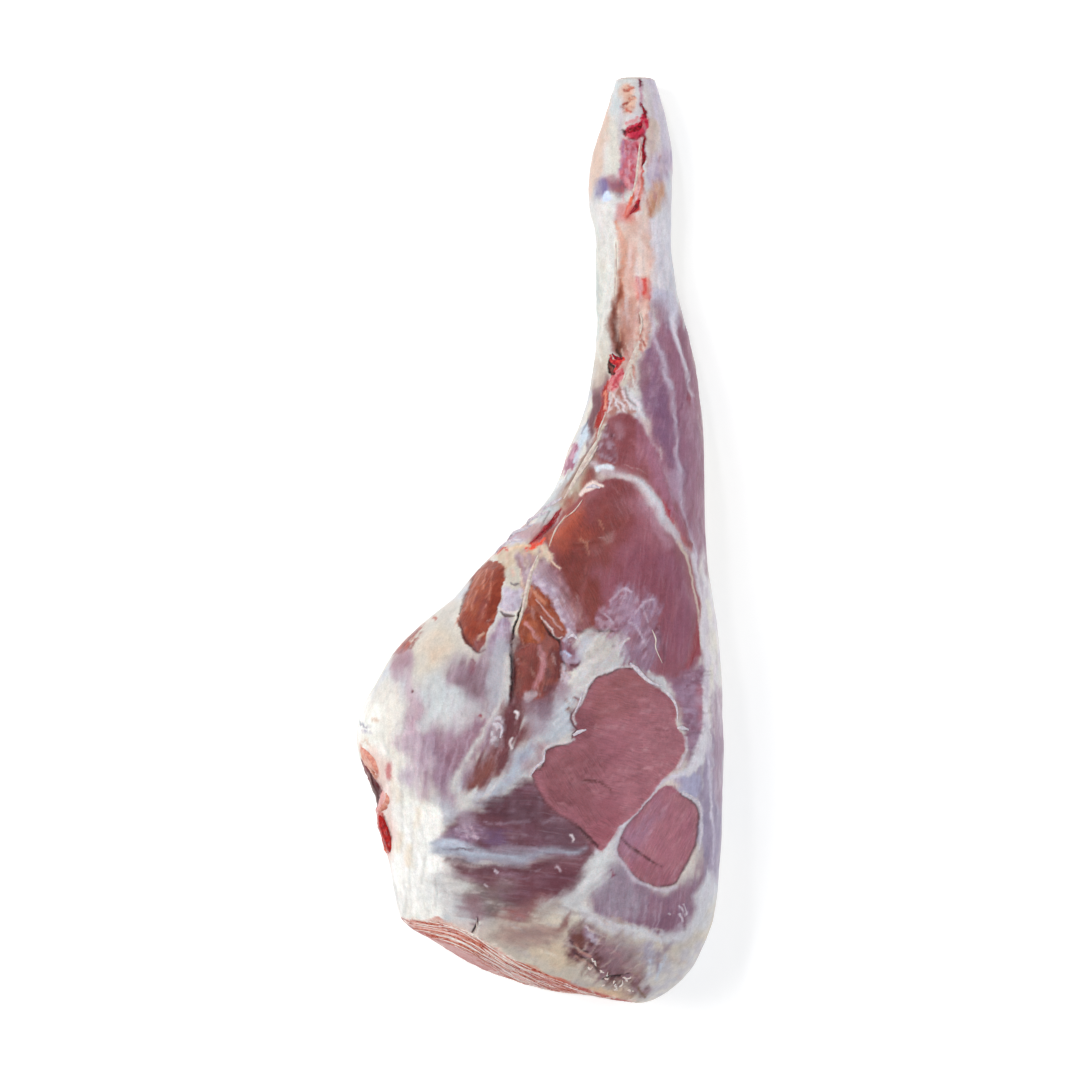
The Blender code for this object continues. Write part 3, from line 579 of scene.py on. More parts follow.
strew(33, ((32, -33), (59, -28), (66, -60), (59, -70), (38, -60)), 40, ("#D2C2D2", "#C2AABE", "#8A6074",
      "#B498AC"), 8, 1.0, -28, share=0.6)
strew(34, ((-11, -7), (11, -15), (24, -38), (22, -68), (11, -87), (-11, -87), (-14, -55)), 60, ("#CDA79C",
      "#C8B0B4", "#6E3030", "#B0705C", "#7A3A36"), 8, 0.8, 18, share=0.5)
strew(35, ((-22, -5), (3, -3), (-5, -28), (-19, -19)), 22, ("#EADFCF", "#D9AB9E", "#B89A8C"), 8, 0.9, 10,
      share=0.6)
strew(36, ((30, -52), (44, -56), (11, -109), (-22, -136), (-49, -155), (-38, -141), (0, -113), (14, -82)),
      60, ("#E4E4E8", "#DAD6D0", "#B6B4C0", "#C9BCC4", "#EDEDEE"), 12, 1.1, -48, share=0.5)
strew(37, OVAL_MUSCLE, 26, ("#CF8E78", "#7A3022", "#B86A52"), 9, 0.8, -24, share=0.55)


# ---------------------------------------------------------------- left thigh
# Thick white fat wraps the front of the thigh, and the muscle shows mauve where the fat is thin.
coat(FAT, ((-73, -44), (-54, -33), (-43, -44), (-42, -57), (-48, -68), (-59, -77), (-69, -80), (-75,
     -65)), "#CFCAC4", soft=10, other="#D6D2CC", lump=8)
coat(FAT, ((-63, -50), (-50, -45), (-44, -55), (-50, -65), (-59, -70), (-66, -61)), "#D9CDBE", soft=16,
     share=0.75)
coat(STAIN, ((-59, -55), (-52, -55), (-51, -62), (-57, -63)), "#DCC2AE", soft=12, share=0.6)
coat(BARE_MUSCLE, ((-43, -42.5), (-39, -39.5), (-33.5, -45), (-29, -50), (-30, -56.5), (-33.5, -60.5),
     (-39, -57), (-42, -51.5)), "#8E4030", soft=2.0, other="#A04C34", lump=2.4, share=0.9, grain=-24)
coat(SHADED_CREASE, ((-43, -45), (-41.5, -52), (-38.5, -57), (-34, -61), (-29.5, -60)), "#5E2226", width=(0.8,
     1.4, 1.6, 1.2, 0.6), soft=1.4)
coat(SINEW, ((-33.5, -55), (-32, -53), (-30, -51)), "#DDB8A4", width=1.1, soft=1.2, share=0.8)
coat(SILVERSKIN, ((-71, -83), (-65, -80), (-59, -93), (-58, -114), (-62, -136), (-68, -132), (-72, -114)),
     "#CFBBC9", soft=16, feather=2.4, other="#C2A8B8", lump=5, share=0.9, grain=4)
coat(STAIN, ((-71, -84), (-64, -88), (-64, -101), (-71, -101)), "#C49CAC", soft=12, share=0.55)
coat(MUSCLE, ((-49, -72), (-43, -63), (-33, -61), (-26, -66), (-25, -78), (-30, -88), (-40, -90), (-48,
     -84)), "#957889", soft=12, feather=1.6, other="#876674", lump=5, share=0.9, grain=-16)
coat(MUSCLE, ((-45, -78), (-40, -74), (-31, -75), (-30, -83), (-37, -87), (-43, -86)), "#7E5C6A", soft=8,
     feather=1.6, share=0.7, grain=-16)
coat(STAIN, ((-54, -78), (-35, -86), (-33, -93), (-42, -97), (-52, -91)), "#A295A0", soft=8, share=0.7,
     grain=-16)
coat(STAIN, ((-39, -66), (-36, -66), (-36, -72), (-39, -72)), "#8A4056", share=0.55)
coat(BLOOD, ((-37.5, -65), (-35.5, -67), (-36, -70), (-38, -72)), "#7A2440", width=0.9, share=0.6,
     wet=0.3)
coat(MUSCLE, ((-64, -107), (-54, -102), (-42, -100), (-23, -90), (-22, -98), (-28, -113), (-45, -138),
     (-57, -139), (-63, -130)), "#A78DA0", soft=14, feather=2.4, other="#987C8E", grain=-6)
coat(MUSCLE, ((-52, -109), (-43, -102), (-30, -98), (-32, -111), (-38, -122), (-45, -130), (-52, -127)),
     "#93697A", soft=11, feather=2.4, other="#A07A8A", lump=4, share=0.85, grain=-8)
for path in (
    ((-65, -106.5), (-66, -119.5), (-63.5, -133.5)),
    ((-57, -107.5), (-58.5, -121.5), (-59.5, -134.5)),
    ((-51, -110.5), (-53, -123.5), (-54, -135.5)),
    ((-44.5, -108.5), (-47.5, -121.5), (-51, -132.5)),
    ((-61, -109.5), (-62, -124.5)),
    ((-38, -106.5), (-42, -119.5)),
):
    coat(STAIN, path, "#C6B4C4", width=0.9, soft=1.6, share=0.5)
coat(FAT, ((-63, -79), (-52, -75), (-42, -85), (-41, -93), (-50, -101), (-59, -100), (-64, -91)),
     "#C9CDD0", soft=13)
coat(FAT, ((-57, -89), (-50, -87), (-45, -92), (-50, -98), (-56, -97)), "#D4D8D9", soft=9, share=0.7)
coat(FAT, ((-22, -61), (-23, -73), (-26, -85), (-29, -93)), "#B9B7C0", width=(9, 10, 9, 5), feather=1.0,
     share=0.9, grain=-10)
coat(MUSCLE, ((-18, -89), (-13, -93), (-8, -101), (-10, -110), (-23, -127), (-30, -133), (-39, -135),
     (-36, -125), (-22, -99)), "#86565A", feather=2.0, other="#7A4A50", lump=5, bare=0.4, veil=0.5,
     grain=-25)
coat(STAIN, ((-38, -131), (-26, -116), (-25, -123), (-30, -130), (-36, -134)), "#8E5850", soft=5,
     share=0.8)
coat(FAT, ((-27, -137), (-10, -114), (-4, -111), (-4, -117), (-18, -133)), "#B2BAC8", soft=5, feather=1.2,
     other="#A2A2B4", lump=3, share=0.85, grain=-40)
coat(SILVERSKIN, ((-26, -98), (-19, -96), (-17, -101), (-19, -109), (-25, -112), (-27, -105)), "#A8969F",
     soft=2.6, ragged=2.0, other="#D0CAD2", lump=1.4, share=0.95)
coat(SINEW, ((-24.5, -91.5), (-28, -99), (-32, -107), (-35, -113), (-39, -119.5), (-43, -127.5), (-46,
     -134.5)), "#CCC8C8", width=(3.4, 3.2, 3.2, 3.0, 3.2, 3.4, 4.5), soft=3.2, ragged=0.8, lift=0.5)
coat(STAIN, ((-15, -85), (-11, -89), (-11, -98), (-18, -115), (-19, -107)), "#6A343C", soft=4,
     feather=1.2, share=0.8, lift=-0.5, grain=-10)
coat(SINEW, ((-13.5, -93), (-12, -94.5), (-12.5, -96.5)), "#E6DFE2", width=1.4, soft=1.0)
coat(SINEW, ((-15, -107.5), (-16, -110.5), (-15, -113)), "#DCD2D4", width=1.2, soft=1.0)
coat(STAIN, ((-73, -61), (-69, -61), (-70, -72), (-75, -78), (-78, -74), (-77, -66)), "#B69CAA", soft=5,
     feather=1.2, share=0.85, grain=6)
coat(BLOOD, ((-62.5, -45), (-65, -50), (-68, -54.5), (-70.5, -59.5), (-76.5, -62), (-81, -60), (-75.5,
     -52.5), (-69, -46)), "#8A3028", soft=2.4, other="#B04A36", lump=2.2, ragged=1.4, share=0.95, wet=0.3)
coat(STAIN, ((-77, -61), (-71, -60), (-72, -68), (-79, -70)), "#A8828E", soft=6, share=0.7)
coat(BLOOD, ((-67, -49), (-70.5, -54)), "#7E2020", width=1.2, share=0.7)

# Small blemishes on the fat: blood points, a pimple and specks.
for path, tone, across in (
    (((-69, -82), (-69, -82.5)), "#6E1A20", 1.2),
    (((-82, -126), (-81.5, -126.5)), "#D4705A", 2.6),
    (((-33, -95.5), (-32.5, -96)), "#9A3040", 1.4),
    (((-57, -42.5), (-57, -43)), "#B86858", 1.6),
    (((-37.5, -199.5), (-37, -200)), "#7C1E1C", 1.6),
    (((-41, -197), (-40, -197)), "#A84038", 1.6),
    (((-52, -186.5), (-51.5, -187)), "#B03A40", 1.6),
    (((-91, -98), (-90.5, -98.5)), "#A86C44", 1.2),
    (((-87, -98), (-86.5, -98.5)), "#B87848", 1.0),
    (((-94.5, -99.5), (-94, -100)), "#8C8CA6", 1.2),
    (((-98.5, -99), (-98, -99.5)), "#9494AA", 1.0),
    (((-70, -173.5), (-69.5, -174)), "#D2BBA0", 2.0),
):
    coat(STAIN, path, tone, width=across, soft=1.2, share=0.9)
coat(STAIN, ((-95.5, -102), (-93, -104), (-91.5, -106)), "#B4B8CC", width=2.4, share=0.6)

# ---------------------------------------------------------------- front edge and its cut pocket
# The front edge is all white fat, creased lengthwise where it folds round to the inner side. A knife
# left a small pocket in it, with a red lobe of muscle at its lower end and a salmon flap above.
coat(FAT, ((-111, -87), (-94, -82), (-80, -93), (-77, -125), (-67, -141), (-54, -153), (-50, -168), (-52,
     -208), (-65, -211), (-86, -211), (-108, -168)), "#F3F2EE", soft=10, feather=2.0, other="#E9E7E1",
     lump=7, grain=3)
coat(FAT, ((-78, -141), (-65, -146), (-56, -157), (-55, -184), (-65, -200), (-78, -195), (-82, -168)),
     "#FAF9F6", soft=12, share=0.8)
coat(FAT, ((-77, -79), (-79, -90), (-80, -100), (-80, -114), (-78, -127), (-76, -141), (-73, -153)),
     "#EFE9E0", width=(3, 4, 4.5, 4.5, 4, 3, 1), soft=5, share=0.6, lift=0.4)
# Creases in the fat, sunk and painted grey with the shade that lies in them.
for crease, depth in (
    (((-76.5, -119.5), (-75, -135.5), (-74.5, -151.5), (-76, -168)), 0.5),
    (((-70.5, -144), (-69, -162.5), (-70, -184), (-69, -201.5)), 0.4),
    (((-56, -174.5), (-55.5, -184), (-57, -198)), 0.9),
    (((-81, -174.5), (-79, -186.5), (-75.5, -200.5)), 0.6),
    (((-62.5, -155), (-61.5, -168), (-63.5, -186.5)), 0.4),
    (((-66, -163.5), (-67, -178.5), (-65, -195)), 0.4),
    (((-73.5, -184), (-72.5, -195), (-73.5, -202.5)), 0.5),
    (((-53, -184), (-51, -195), (-52, -204.5)), 0.4),
    (((-84, -103), (-82, -114), (-82.5, -122)), 0.4),
    (((-59.5, -195), (-60.5, -201.5)), 0.4),
):
    coat(SHADED_CREASE, crease, "#C8C8C6", width=(0.4, 1.4, 1.2, 0.4)[: len(crease)], soft=2.6, share=0.6,
         lift=-depth)
coat(SINEW, ((-54.5, -172.5), (-54, -184), (-55, -197.5)), "#FBFAF8", width=1.4, soft=1.4, lift=0.4)
for path in (
    ((-66, -147.5), (-65.5, -154)),
    ((-70.5, -168), (-69.5, -175.5)),
    ((-76.5, -159.5), (-76, -168)),
    ((-79.5, -130), (-78, -141)),
):
    coat(STAIN, path, "#E4D2BA", width=3.4, soft=4, share=0.55)

coat(STAIN, ((-94, -115), (-87, -115), (-82, -128), (-79, -146), (-78, -166), (-81, -174), (-85, -168),
     (-94, -130)), "#E6C6BE", soft=6, share=0.7)
# The hollow of the pocket: bare muscle, painted dark maroon with the shade inside it, and darker still where
# it is deepest.
coat(STAIN, ((-97, -118), (-86, -133), (-85, -139), (-87, -146), (-93, -147), (-97, -136)), "#74202C",
     soft=2.4, other="#8E303A", lump=3, lift=-1.8, wet=0.1, bare=0.8, fat=0.0, wrap=0.7)
coat(STAIN, ((-94, -126), (-90, -132), (-87, -140), (-90, -144), (-94, -139)), "#521018", share=0.85,
     lift=-1.0, wrap=0.7)
coat(BLOOD, ((-82, -123.5), (-81.5, -128)), "#C45A62", width=3.4, soft=3, share=0.75, wet=0.3)
for path, tone in (
    (((-97.5, -98.5), (-95.5, -100.5), (-93, -101)), "#8E8CA2"),
    (((-95.5, -104), (-92, -104)), "#A29AB4"),
    (((-91.5, -97), (-87, -99)), "#D2B09A"),
    (((-96, -109), (-92, -112)), "#DCC0AC"),
):
    coat(STAIN, path, tone, width=1.6, soft=2.0, ragged=1.4, share=0.75)
coat(SINEW, ((-97, -110.5), (-95, -114.5), (-91.5, -117.5), (-88.5, -122), (-87.5, -128), (-89.5, -129),
     (-93.5, -123.5), (-96.5, -117.5)), "#DC9A86", other="#E8B8A6", lump=2, soft=1.4, lift=1.8, pillow=2,
     fat=0.3, wet=0.4)
coat(SINEW, ((-85, -136.5), (-82, -140.5), (-83, -144), (-88, -147.5), (-89, -144.5)), "#E2A2A0",
     soft=1.6, lift=1.2, pillow=2, fat=0.2, wet=0.4)
coat(BARE_MUSCLE, ((-88, -147.5), (-85, -147.5), (-82, -156), (-80, -163), (-80, -167.5), (-82, -170.5),
     (-84, -168.5), (-86, -161.5), (-88.5, -153)), "#B02A28", soft=1.2, other="#C04038", lump=2, lift=1.8,
     wet=0.8, grain=-12)
# Painted shade down the lobe's right side, then a painted highlight down its left.
coat(STAIN, ((-84, -149.5), (-81.5, -157), (-80, -163.5)), "#7A1A20", width=1.2, soft=1.2, share=0.8)
coat(STAIN, ((-86.5, -151.5), (-84, -159.5), (-83, -164.5)), "#D87A6A", width=1.2, soft=1.6, share=0.7)
coat(BLOOD, ((-82.5, -167.5), (-82, -168.5)), "#E87848", width=2.0)

# ---------------------------------------------------------------- lower thigh
# Dark muscle under tight silverskin, crossed by a bluish white tendon sheet.
coat(MUSCLE, ((-54, -161), (-48, -154), (-38, -147), (-8, -132), (-2, -128), (6, -141), (35, -169), (22,
     -173), (-32, -174), (-51, -171)), "#744A55", soft=6, feather=1.0, other="#7A5260", veil=0.7,
     grain=86)
coat(MUSCLE, ((-29, -141), (-15, -137), (0, -141), (4, -150), (-11, -153), (-27, -148)), "#66424D",
     soft=6, feather=2.0, share=0.8, grain=86)
coat(MUSCLE, ((0, -154), (14, -151), (28, -164), (22, -168), (6, -167)), "#745662", soft=9, feather=1.0,
     share=0.8, grain=86)
coat(SILVERSKIN, ((-53, -161), (-45, -156), (-37, -154), (-31, -158), (-31, -164), (-51, -169)),
     "#947A90", soft=6, feather=1.4, other="#AE98AE", lump=2.4, share=0.85, grain=80)
coat(SILVERSKIN, ((-29, -160), (-19, -159), (-17, -165), (-26, -168), (-30, -166)), "#7A6080", soft=4,
     feather=2.0, grain=86)
for path, tone, width in (
    (((-30, -152.5), (-26, -153.5), (-21.5, -154)), "#A88E9E", 1.2),
    (((-21.5, -154), (-13, -153), (-5.5, -152.5)), "#98808E", 1.0),
    (((0, -153), (11, -151.5), (21.5, -153)), "#9A8492", 1.2),
    (((-45.5, -157), (-40, -158), (-33.5, -161.5)), "#C0B2C2", 1.4),
    (((-37.5, -155), (-35, -159), (-33.5, -162)), "#D6BCC8", 1.0),
    (((-41, -155), (-39, -158), (-38, -161.5)), "#CDB4C2", 0.8),
    (((-26, -167), (-11, -166.5), (1, -168)), "#9A8896", 2.4),
    (((-21.5, -144), (-13, -142), (-5.5, -142)), "#8C6C7A", 0.9),
    (((-16, -160.5), (-6.5, -159.5), (4.5, -160.5)), "#8A707E", 0.9),
):
    coat(STAIN, path, tone, width=width, soft=1.8, share=0.75)
coat(MUSCLE, ((-52, -174), (-19, -177), (30, -168), (35, -170), (21, -186), (12, -193), (0, -197), (-13,
     -199), (-24, -196), (-35, -187), (-46, -182)), "#7C4F59", soft=7, feather=1.0, other="#845A64",
     grain=84)
coat(FAT, ((-56, -184), (-48, -182), (-37, -190), (-28, -198), (-26, -207), (-32, -215), (-45, -215),
     (-57, -208)), "#CDCFD2", soft=14, feather=0.8, other="#D6D4D4", lump=5, fat=0.6, veil=0.4, grain=84)
coat(STAIN, ((-48, -208), (-32, -207), (-26, -213), (-38, -217), (-49, -214)), "#D6C2BC", soft=8,
     share=0.8)
coat(MUSCLE, ((-37, -186), (-26, -188), (-3, -199), (-5, -207), (-18, -209), (-28, -206), (-36, -197)),
     "#8C7A78", soft=16, feather=1.0, other="#80706E", lump=5, grain=84)
coat(MUSCLE, ((-21, -194), (2, -199), (0, -207), (-11, -209), (-19, -206)), "#80686A", soft=10, share=0.7)
coat(MUSCLE, ((0, -183), (27, -177), (24, -186), (11, -194), (0, -196)), "#744652", feather=1.6,
     share=0.75, grain=80)
coat(SINEW, ((-53.5, -166.5), (-46.5, -167.5), (-39.5, -169), (-29, -171.5), (-18.5, -171.5), (-5.5,
     -170.5), (3, -169), (14, -168), (26, -166.5)), "#AEB3C1", width=(9.5, 9.5, 7.5, 5.6, 4.6, 4.0, 3.0,
     2.0, 0.8), soft=5, feather=0.8, share=0.95, lift=0.4, veil=0.6, grain=86)
coat(STAIN, ((-45, -177), (-36, -179), (-25, -178), (-15, -178), (-3, -178), (9, -174)), "#6E444E",
     width=(1.6, 3.0, 4.2, 4.8, 5.0, 2.6), soft=4, share=0.85, grain=84)
coat(SINEW, ((-53, -165), (-46.5, -166.5), (-38, -168), (-30, -170)), "#C8D0DE", width=(4.6, 4.6, 3.6,
     1.4), soft=4, share=0.8)
coat(STAIN, ((-51, -173.5), (-40, -174.5), (-30, -176.5)), "#5A3846", width=1.2, soft=2.0, share=0.6)
for path, tone, width in (
    (((-25, -178.5), (-23, -180.5)), "#D8CCD6", 1.4),
    (((-30, -186.5), (-28.5, -187.5)), "#CFC2C8", 1.4),
    (((8.5, -177.5), (11, -179.5)), "#CDB8C2", 1.2),
    (((-20.5, -184), (-16, -186.5)), "#A88C96", 0.9),
    (((-5.5, -180), (2, -178.5)), "#98808C", 0.9),
    (((-14, -202.5), (-8.5, -204)), "#D8744E", 2.0),
    # A painted glint on the wet muscle.
    (((16, -160), (17.5, -162.5)), "#E8DEE2", 1.2),
    (((1, -136), (2, -137.5)), "#E2D2D6", 1.2),
    # Two more painted glints.
    (((10.5, -144), (12.5, -147.5)), "#DCC8CC", 0.9),
    (((14, -146.5), (16, -149)), "#DCC8CC", 0.8),
):
    coat(STAIN, path, tone, width=width, soft=1.1, share=0.85)
coat(SHADED_CREASE, ((-34, -203), (-34.5, -208), (-36.5, -212)), "#2E1C1C", width=(0.7, 1.4, 1.0), soft=0.9,
     share=0.95, lift=-1.2)
coat(SINEW, ((-32.5, -203.5), (-33, -209), (-35, -214)), "#E9E4DE", width=1.0, soft=1.0)
strew(41, ((-73, -87), (-32, -87), (-22, -98), (-43, -136), (-72, -133)), 60, ("#C8B4C4", "#BCA8B8",
      "#9A7E90", "#96788C", "#D2C4CE"), 18, 1.2, -6, share=0.3, soft=2.4)
strew(42, ((-49, -63), (-28, -63), (-29, -85), (-48, -83)), 26, ("#B4A0AE", "#8A6C80", "#C2B2BE"), 12,
      1.2, -18, share=0.3, soft=2.4)
strew(43, ((-103, -87), (-80, -87), (-76, -141), (-54, -163), (-54, -203), (-81, -200), (-103, -163)), 60,
      ("#FFFFFF", "#FBF8F2", "#E6E4E2", "#ECE6DC"), 22, 1.4, 3, share=0.35, soft=2.4)
strew(44, ((-49, -154), (-5, -133), (32, -168), (27, -195), (-32, -198), (-52, -173)), 70, ("#96788A",
      "#8C6C7C", "#A890A0", "#5E3C48", "#624050"), 20, 0.9, 86, share=0.4)
strew(45, ((-54, -184), (-5, -198), (-11, -211), (-54, -208)), 26, ("#D8D4D6", "#9C9094", "#E2DCDA"), 12,
      1.0, 84, share=0.4)
strew(46, ((-38, -87), (-11, -87), (0, -111), (-32, -136)), 34, ("#A8848C", "#62343C", "#B89CA4",
      "#74464C"), 12, 0.9, -24, share=0.45)


# ---------------------------------------------------------------- rump
# Lilac silverskin covers the rump muscles beside the fat seam that runs down to the cut.
coat(MUSCLE, ((39, -168), (54, -185), (67, -190), (79, -182), (89, -166), (91, -179), (87, -192), (78,
     -211), (67, -213), (39, -207), (30, -201), (27, -194), (30, -184)), "#967688", soft=8, feather=1.0,
     other="#8B6A82", lump=7, grain=-6)
coat(MUSCLE, ((29, -191), (36, -177), (44, -177), (54, -188), (54, -201), (41, -205), (32, -201)),
     "#9E929F", soft=9, feather=2.0, share=0.85, grain=-6)
coat(MUSCLE, ((59, -206), (67, -202), (76, -202), (76, -209), (70, -213), (62, -213)), "#8C667A", soft=4,
     feather=1.4, share=0.8)
coat(MUSCLE, ((54, -190), (67, -194), (79, -188), (81, -195), (69, -201), (56, -197)), "#A07A8A", soft=6,
     feather=2.4, share=0.6, grain=-6)
coat(SILVERSKIN, ((86, -110), (98, -102), (102, -141), (102, -179), (96, -195), (89, -188), (85, -133)),
     "#9A8EA8", soft=5, feather=1.6, other="#A498B0", fat=0.2, share=0.95, grain=2)
coat(FAT, ((86, -184), (95, -180), (98, -193), (93, -213), (86, -217), (84, -200)), "#D6D7DC", share=0.9)
coat(SILVERSKIN, ((92, -87), (100, -87), (100, -141), (95, -136)), "#AD92A4", soft=4, grain=2)
coat(SILVERSKIN, ((76, -128), (83, -126), (87, -131), (85, -138), (78, -137), (72, -132)), "#B2AEC8",
     soft=3.4, share=0.95, lift=0.4)
coat(MUSCLE, ((70, -80), (76, -73), (89, -68), (90, -87), (89, -104), (84, -116), (79, -122), (78, -106)),
     "#946A80", soft=4, feather=1.0, other="#A4849A", lump=3, grain=84)
coat(STAIN, ((85, -80), (90, -82), (90, -100), (85, -103)), "#B87C8C", soft=4, share=0.75)
for path in (
    ((76.5, -85), (86.5, -86)),
    ((78, -97.5), (86.5, -99)),
    ((78, -91.5), (84, -92)),
    ((79, -108.5), (85.5, -106.5)),
):
    coat(STAIN, path, "#B8A4BA", width=2.6, soft=3.2, feather=1.0, share=0.4, grain=84)
coat(MUSCLE, ((62, -73), (73, -76), (82, -71), (86, -64)), "#9E7688", width=(2.0, 4.5, 4.5, 2.0), soft=3,
     share=0.7)
coat(FAT, ((86, -9), (93, -22), (98, -44), (97, -70), (93, -87), (91, -111), (90, -110), (90, -87)),
     "#E0DBE0", soft=4, feather=1.0, other="#E8E4DC", lump=9, lift=0.6, pillow=4, grain=2)
coat(SINEW, ((82, -9), (85.5, -22), (88, -38.5), (89, -57), (89.5, -76), (89.5, -94.5), (88, -106), (85,
     -118.5), (79, -128)), "#DBD5DC", width=(1.6, 2.0, 2.4, 2.8, 3.0, 3.4, 4.4, 5.0, 3.0), soft=2.4,
     lift=0.4)
coat(SINEW, ((90, -111), (92, -135.5), (93.5, -157), (94, -176)), "#CDC6D6", width=(1.8, 1.2, 1.0, 0.6),
     soft=1.4, lift=0.3)
coat(STAIN, ((93.5, -60), (96, -87), (96.5, -106)), "#B6A0B4", width=(0.8, 1.8, 2.0), soft=2.4, share=0.6)
# Painted glints: small pale strokes of light on the wet muscle above the cut.
for path in (
    ((75.5, -198), (78, -203.5)),
    ((78, -197), (79, -202.5)),
    ((75, -203), (76.5, -206.5)),
    ((69, -202), (70.5, -203)),
):
    coat(STAIN, path, "#E2DCE4", width=0.9, soft=1.0, share=0.8)
coat(BLOOD, ((39.5, -179.5), (40, -181), (40, -182.5)), "#8A4A62", width=1.3, soft=1.2)

# The fat seam down to the cut, and the cream and bruised places along the cut's edge.
coat(FAT, ((26, -204), (54, -213), (71, -214), (85, -209), (96, -193), (100, -217), (86, -238), (69,
     -251), (52, -253), (32, -251), (11, -244), (-26, -222), (-31, -210), (-16, -205), (11, -201)),
     "#C9C0B6", soft=9, feather=1.0, other="#D4CABC", lump=7, veil=0.2, grain=-35)
coat(FAT, ((20, -194), (24, -202), (39, -209), (54, -213), (67, -215), (78, -213), (85, -205), (91,
     -193)), "#CFCED4", width=(2, 5, 6, 6, 7, 7, 6, 3), soft=4, feather=1.0, share=0.9)
coat(FAT, ((58, -231), (90, -215), (93, -223), (83, -235), (67, -246), (54, -249), (51, -240)), "#C3BFC6",
     other="#D2CDCA", lump=4, share=0.9, grain=-66)
coat(FAT, ((-29, -213), (-16, -209), (0, -208), (9, -213), (4, -219), (-11, -220), (-23, -218)),
     "#B29690", soft=9, feather=1.0, other="#A28684", lump=4, share=0.9, grain=80)
coat(FAT, ((-5, -222), (3, -219), (14, -218), (16, -224), (22, -231), (11, -232)), "#D2C2AE", soft=5,
     feather=1.0, share=0.95)
coat(MUSCLE, ((-22, -200), (-11, -198), (3, -192), (8, -197), (0, -204), (-12, -208), (-21, -207)),
     "#97696A", soft=6, feather=1.6, share=0.85, grain=80)
coat(MUSCLE, ((-40, -195), (-32, -194), (-29, -201), (-35, -207), (-41, -202)), "#936F79", feather=1.6,
     share=0.75, grain=80)
coat(FAT, ((27, -242), (48, -245), (46, -249), (35, -248), (26, -246)), "#DDBEA2", soft=3, share=0.85)
coat(SINEW, ((78, -126), (73.5, -128.5), (68, -130), (62.5, -135), (56.5, -142), (49.5, -149), (43, -155),
     (38.5, -161.5), (34, -169)), "#D9D6E0", width=(3.4, 3.0, 2.4, 3.0, 3.4, 3.4, 3.6, 5.0, 7.0),
     soft=2.4, ragged=0.7, lift=0.8)
coat(FAT, ((41, -159), (40, -167), (35, -177), (29, -184), (19, -193), (11, -197), (4, -199)), "#CCCBCD",
     width=(5.0, 9.0, 12.0, 12.0, 11.0, 9.0, 5.0), soft=7, ragged=1.2, feather=1.0, lift=0.8, pillow=5,
     grain=-50)
coat(FAT, ((38, -169), (32, -178.5), (24, -188.5)), "#DADADC", width=(4.0, 5.0, 4.0), soft=4, share=0.7)
coat(FAT, ((8.5, -197.5), (2, -201.5), (-4.5, -205.5)), "#B0A096", width=(5, 7, 4), soft=5, share=0.7)
coat(MUSCLE, ((26, -209), (39, -213), (52, -221), (55, -233), (45, -234), (35, -223)), "#8E7480", soft=9,
     feather=1.0, share=0.75, grain=-42)
coat(MUSCLE, ((13, -215), (17, -209), (26, -210), (36, -218), (52, -235), (55, -244), (46, -244), (27,
     -236), (18, -231), (14, -224)), "#7A5254", soft=8, ragged=2.0, feather=1.6, other="#987880", lump=3,
     bare=0.5, veil=0.5, grain=-42)
coat(MUSCLE, ((35, -215), (44, -219), (50, -226), (46, -235), (38, -231), (32, -223)), "#937680", soft=8,
     feather=1.0, share=0.7, grain=-42)
coat(STAIN, ((17, -213), (23, -213), (23, -220), (18, -220)), "#77483E", share=0.8)
coat(SILVERSKIN, ((25, -211), (31, -212), (31, -218), (26, -218)), "#C4B8C6", soft=2.6, ragged=1.6,
     other="#A08898", lump=1.6, share=0.9)
coat(MUSCLE, ((16, -202), (14, -206), (11, -209), (8, -212)), "#8A5A58", width=(1.2, 3.0, 3.2, 1.6),
     soft=2.6, feather=1.0, share=0.85)
# Creases near the cut's edge, sunk and painted dark with their shade.
coat(SHADED_CREASE, ((16, -216.5), (20, -220.5), (25.5, -223)), "#43202A", width=(1.0, 1.8, 1.2), soft=1.4,
     lift=-0.8)
coat(SHADED_CREASE, ((17.5, -222), (21.5, -225.5), (27, -229.5), (31.5, -233.5)), "#43202A", width=(0.9, 1.8,
     1.8, 0.7), soft=1.4, lift=-0.8)
coat(STAIN, ((18.5, -218.5), (22.5, -222.5), (27, -225.5)), "#C8988C", width=1.4, soft=1.4, share=0.7)
coat(STAIN, ((19.5, -225), (24, -228.5), (28, -231.5)), "#CEA596", width=1.0, soft=1.4, share=0.6)
coat(STAIN, ((32.5, -218.5), (39, -222), (45.5, -228.5)), "#B08C92", width=1.2, soft=1.8, share=0.7)
coat(SHADED_CREASE, ((33.5, -237.5), (37.5, -236.5), (41.5, -236), (49, -234.5)), "#2C1218", width=(0.9, 1.8,
     1.6, 0.7), lift=-1.0)
coat(SHADED_CREASE, ((52.5, -241.5), (54, -244), (56.5, -247.5)), "#8A6A54", width=1.3, soft=1.2)
coat(SILVERSKIN, ((55, -220), (62, -219), (65, -224), (63, -231), (56, -230), (53, -224)), "#AEA8BA",
     soft=4, feather=1.4, share=0.85)
coat(MUSCLE, ((72, -217), (69, -221), (65, -226), (63, -234)), "#9A8896", width=(1.6, 3.2, 3.4, 2.0),
     soft=2.8, feather=1.0, share=0.8)
coat(SINEW, ((68, -225), (65, -231.5), (63, -238)), "#C8D0DC", width=1.4, soft=1.4, share=0.8)
coat(SINEW, ((59.5, -228.5), (58.5, -235)), "#D0D4DE", width=1.2, soft=1.4, share=0.7)
coat(STAIN, ((8.5, -197), (17.5, -201.5), (27, -203.5)), "#A89A9C", width=1.4, soft=2.0, share=0.5)

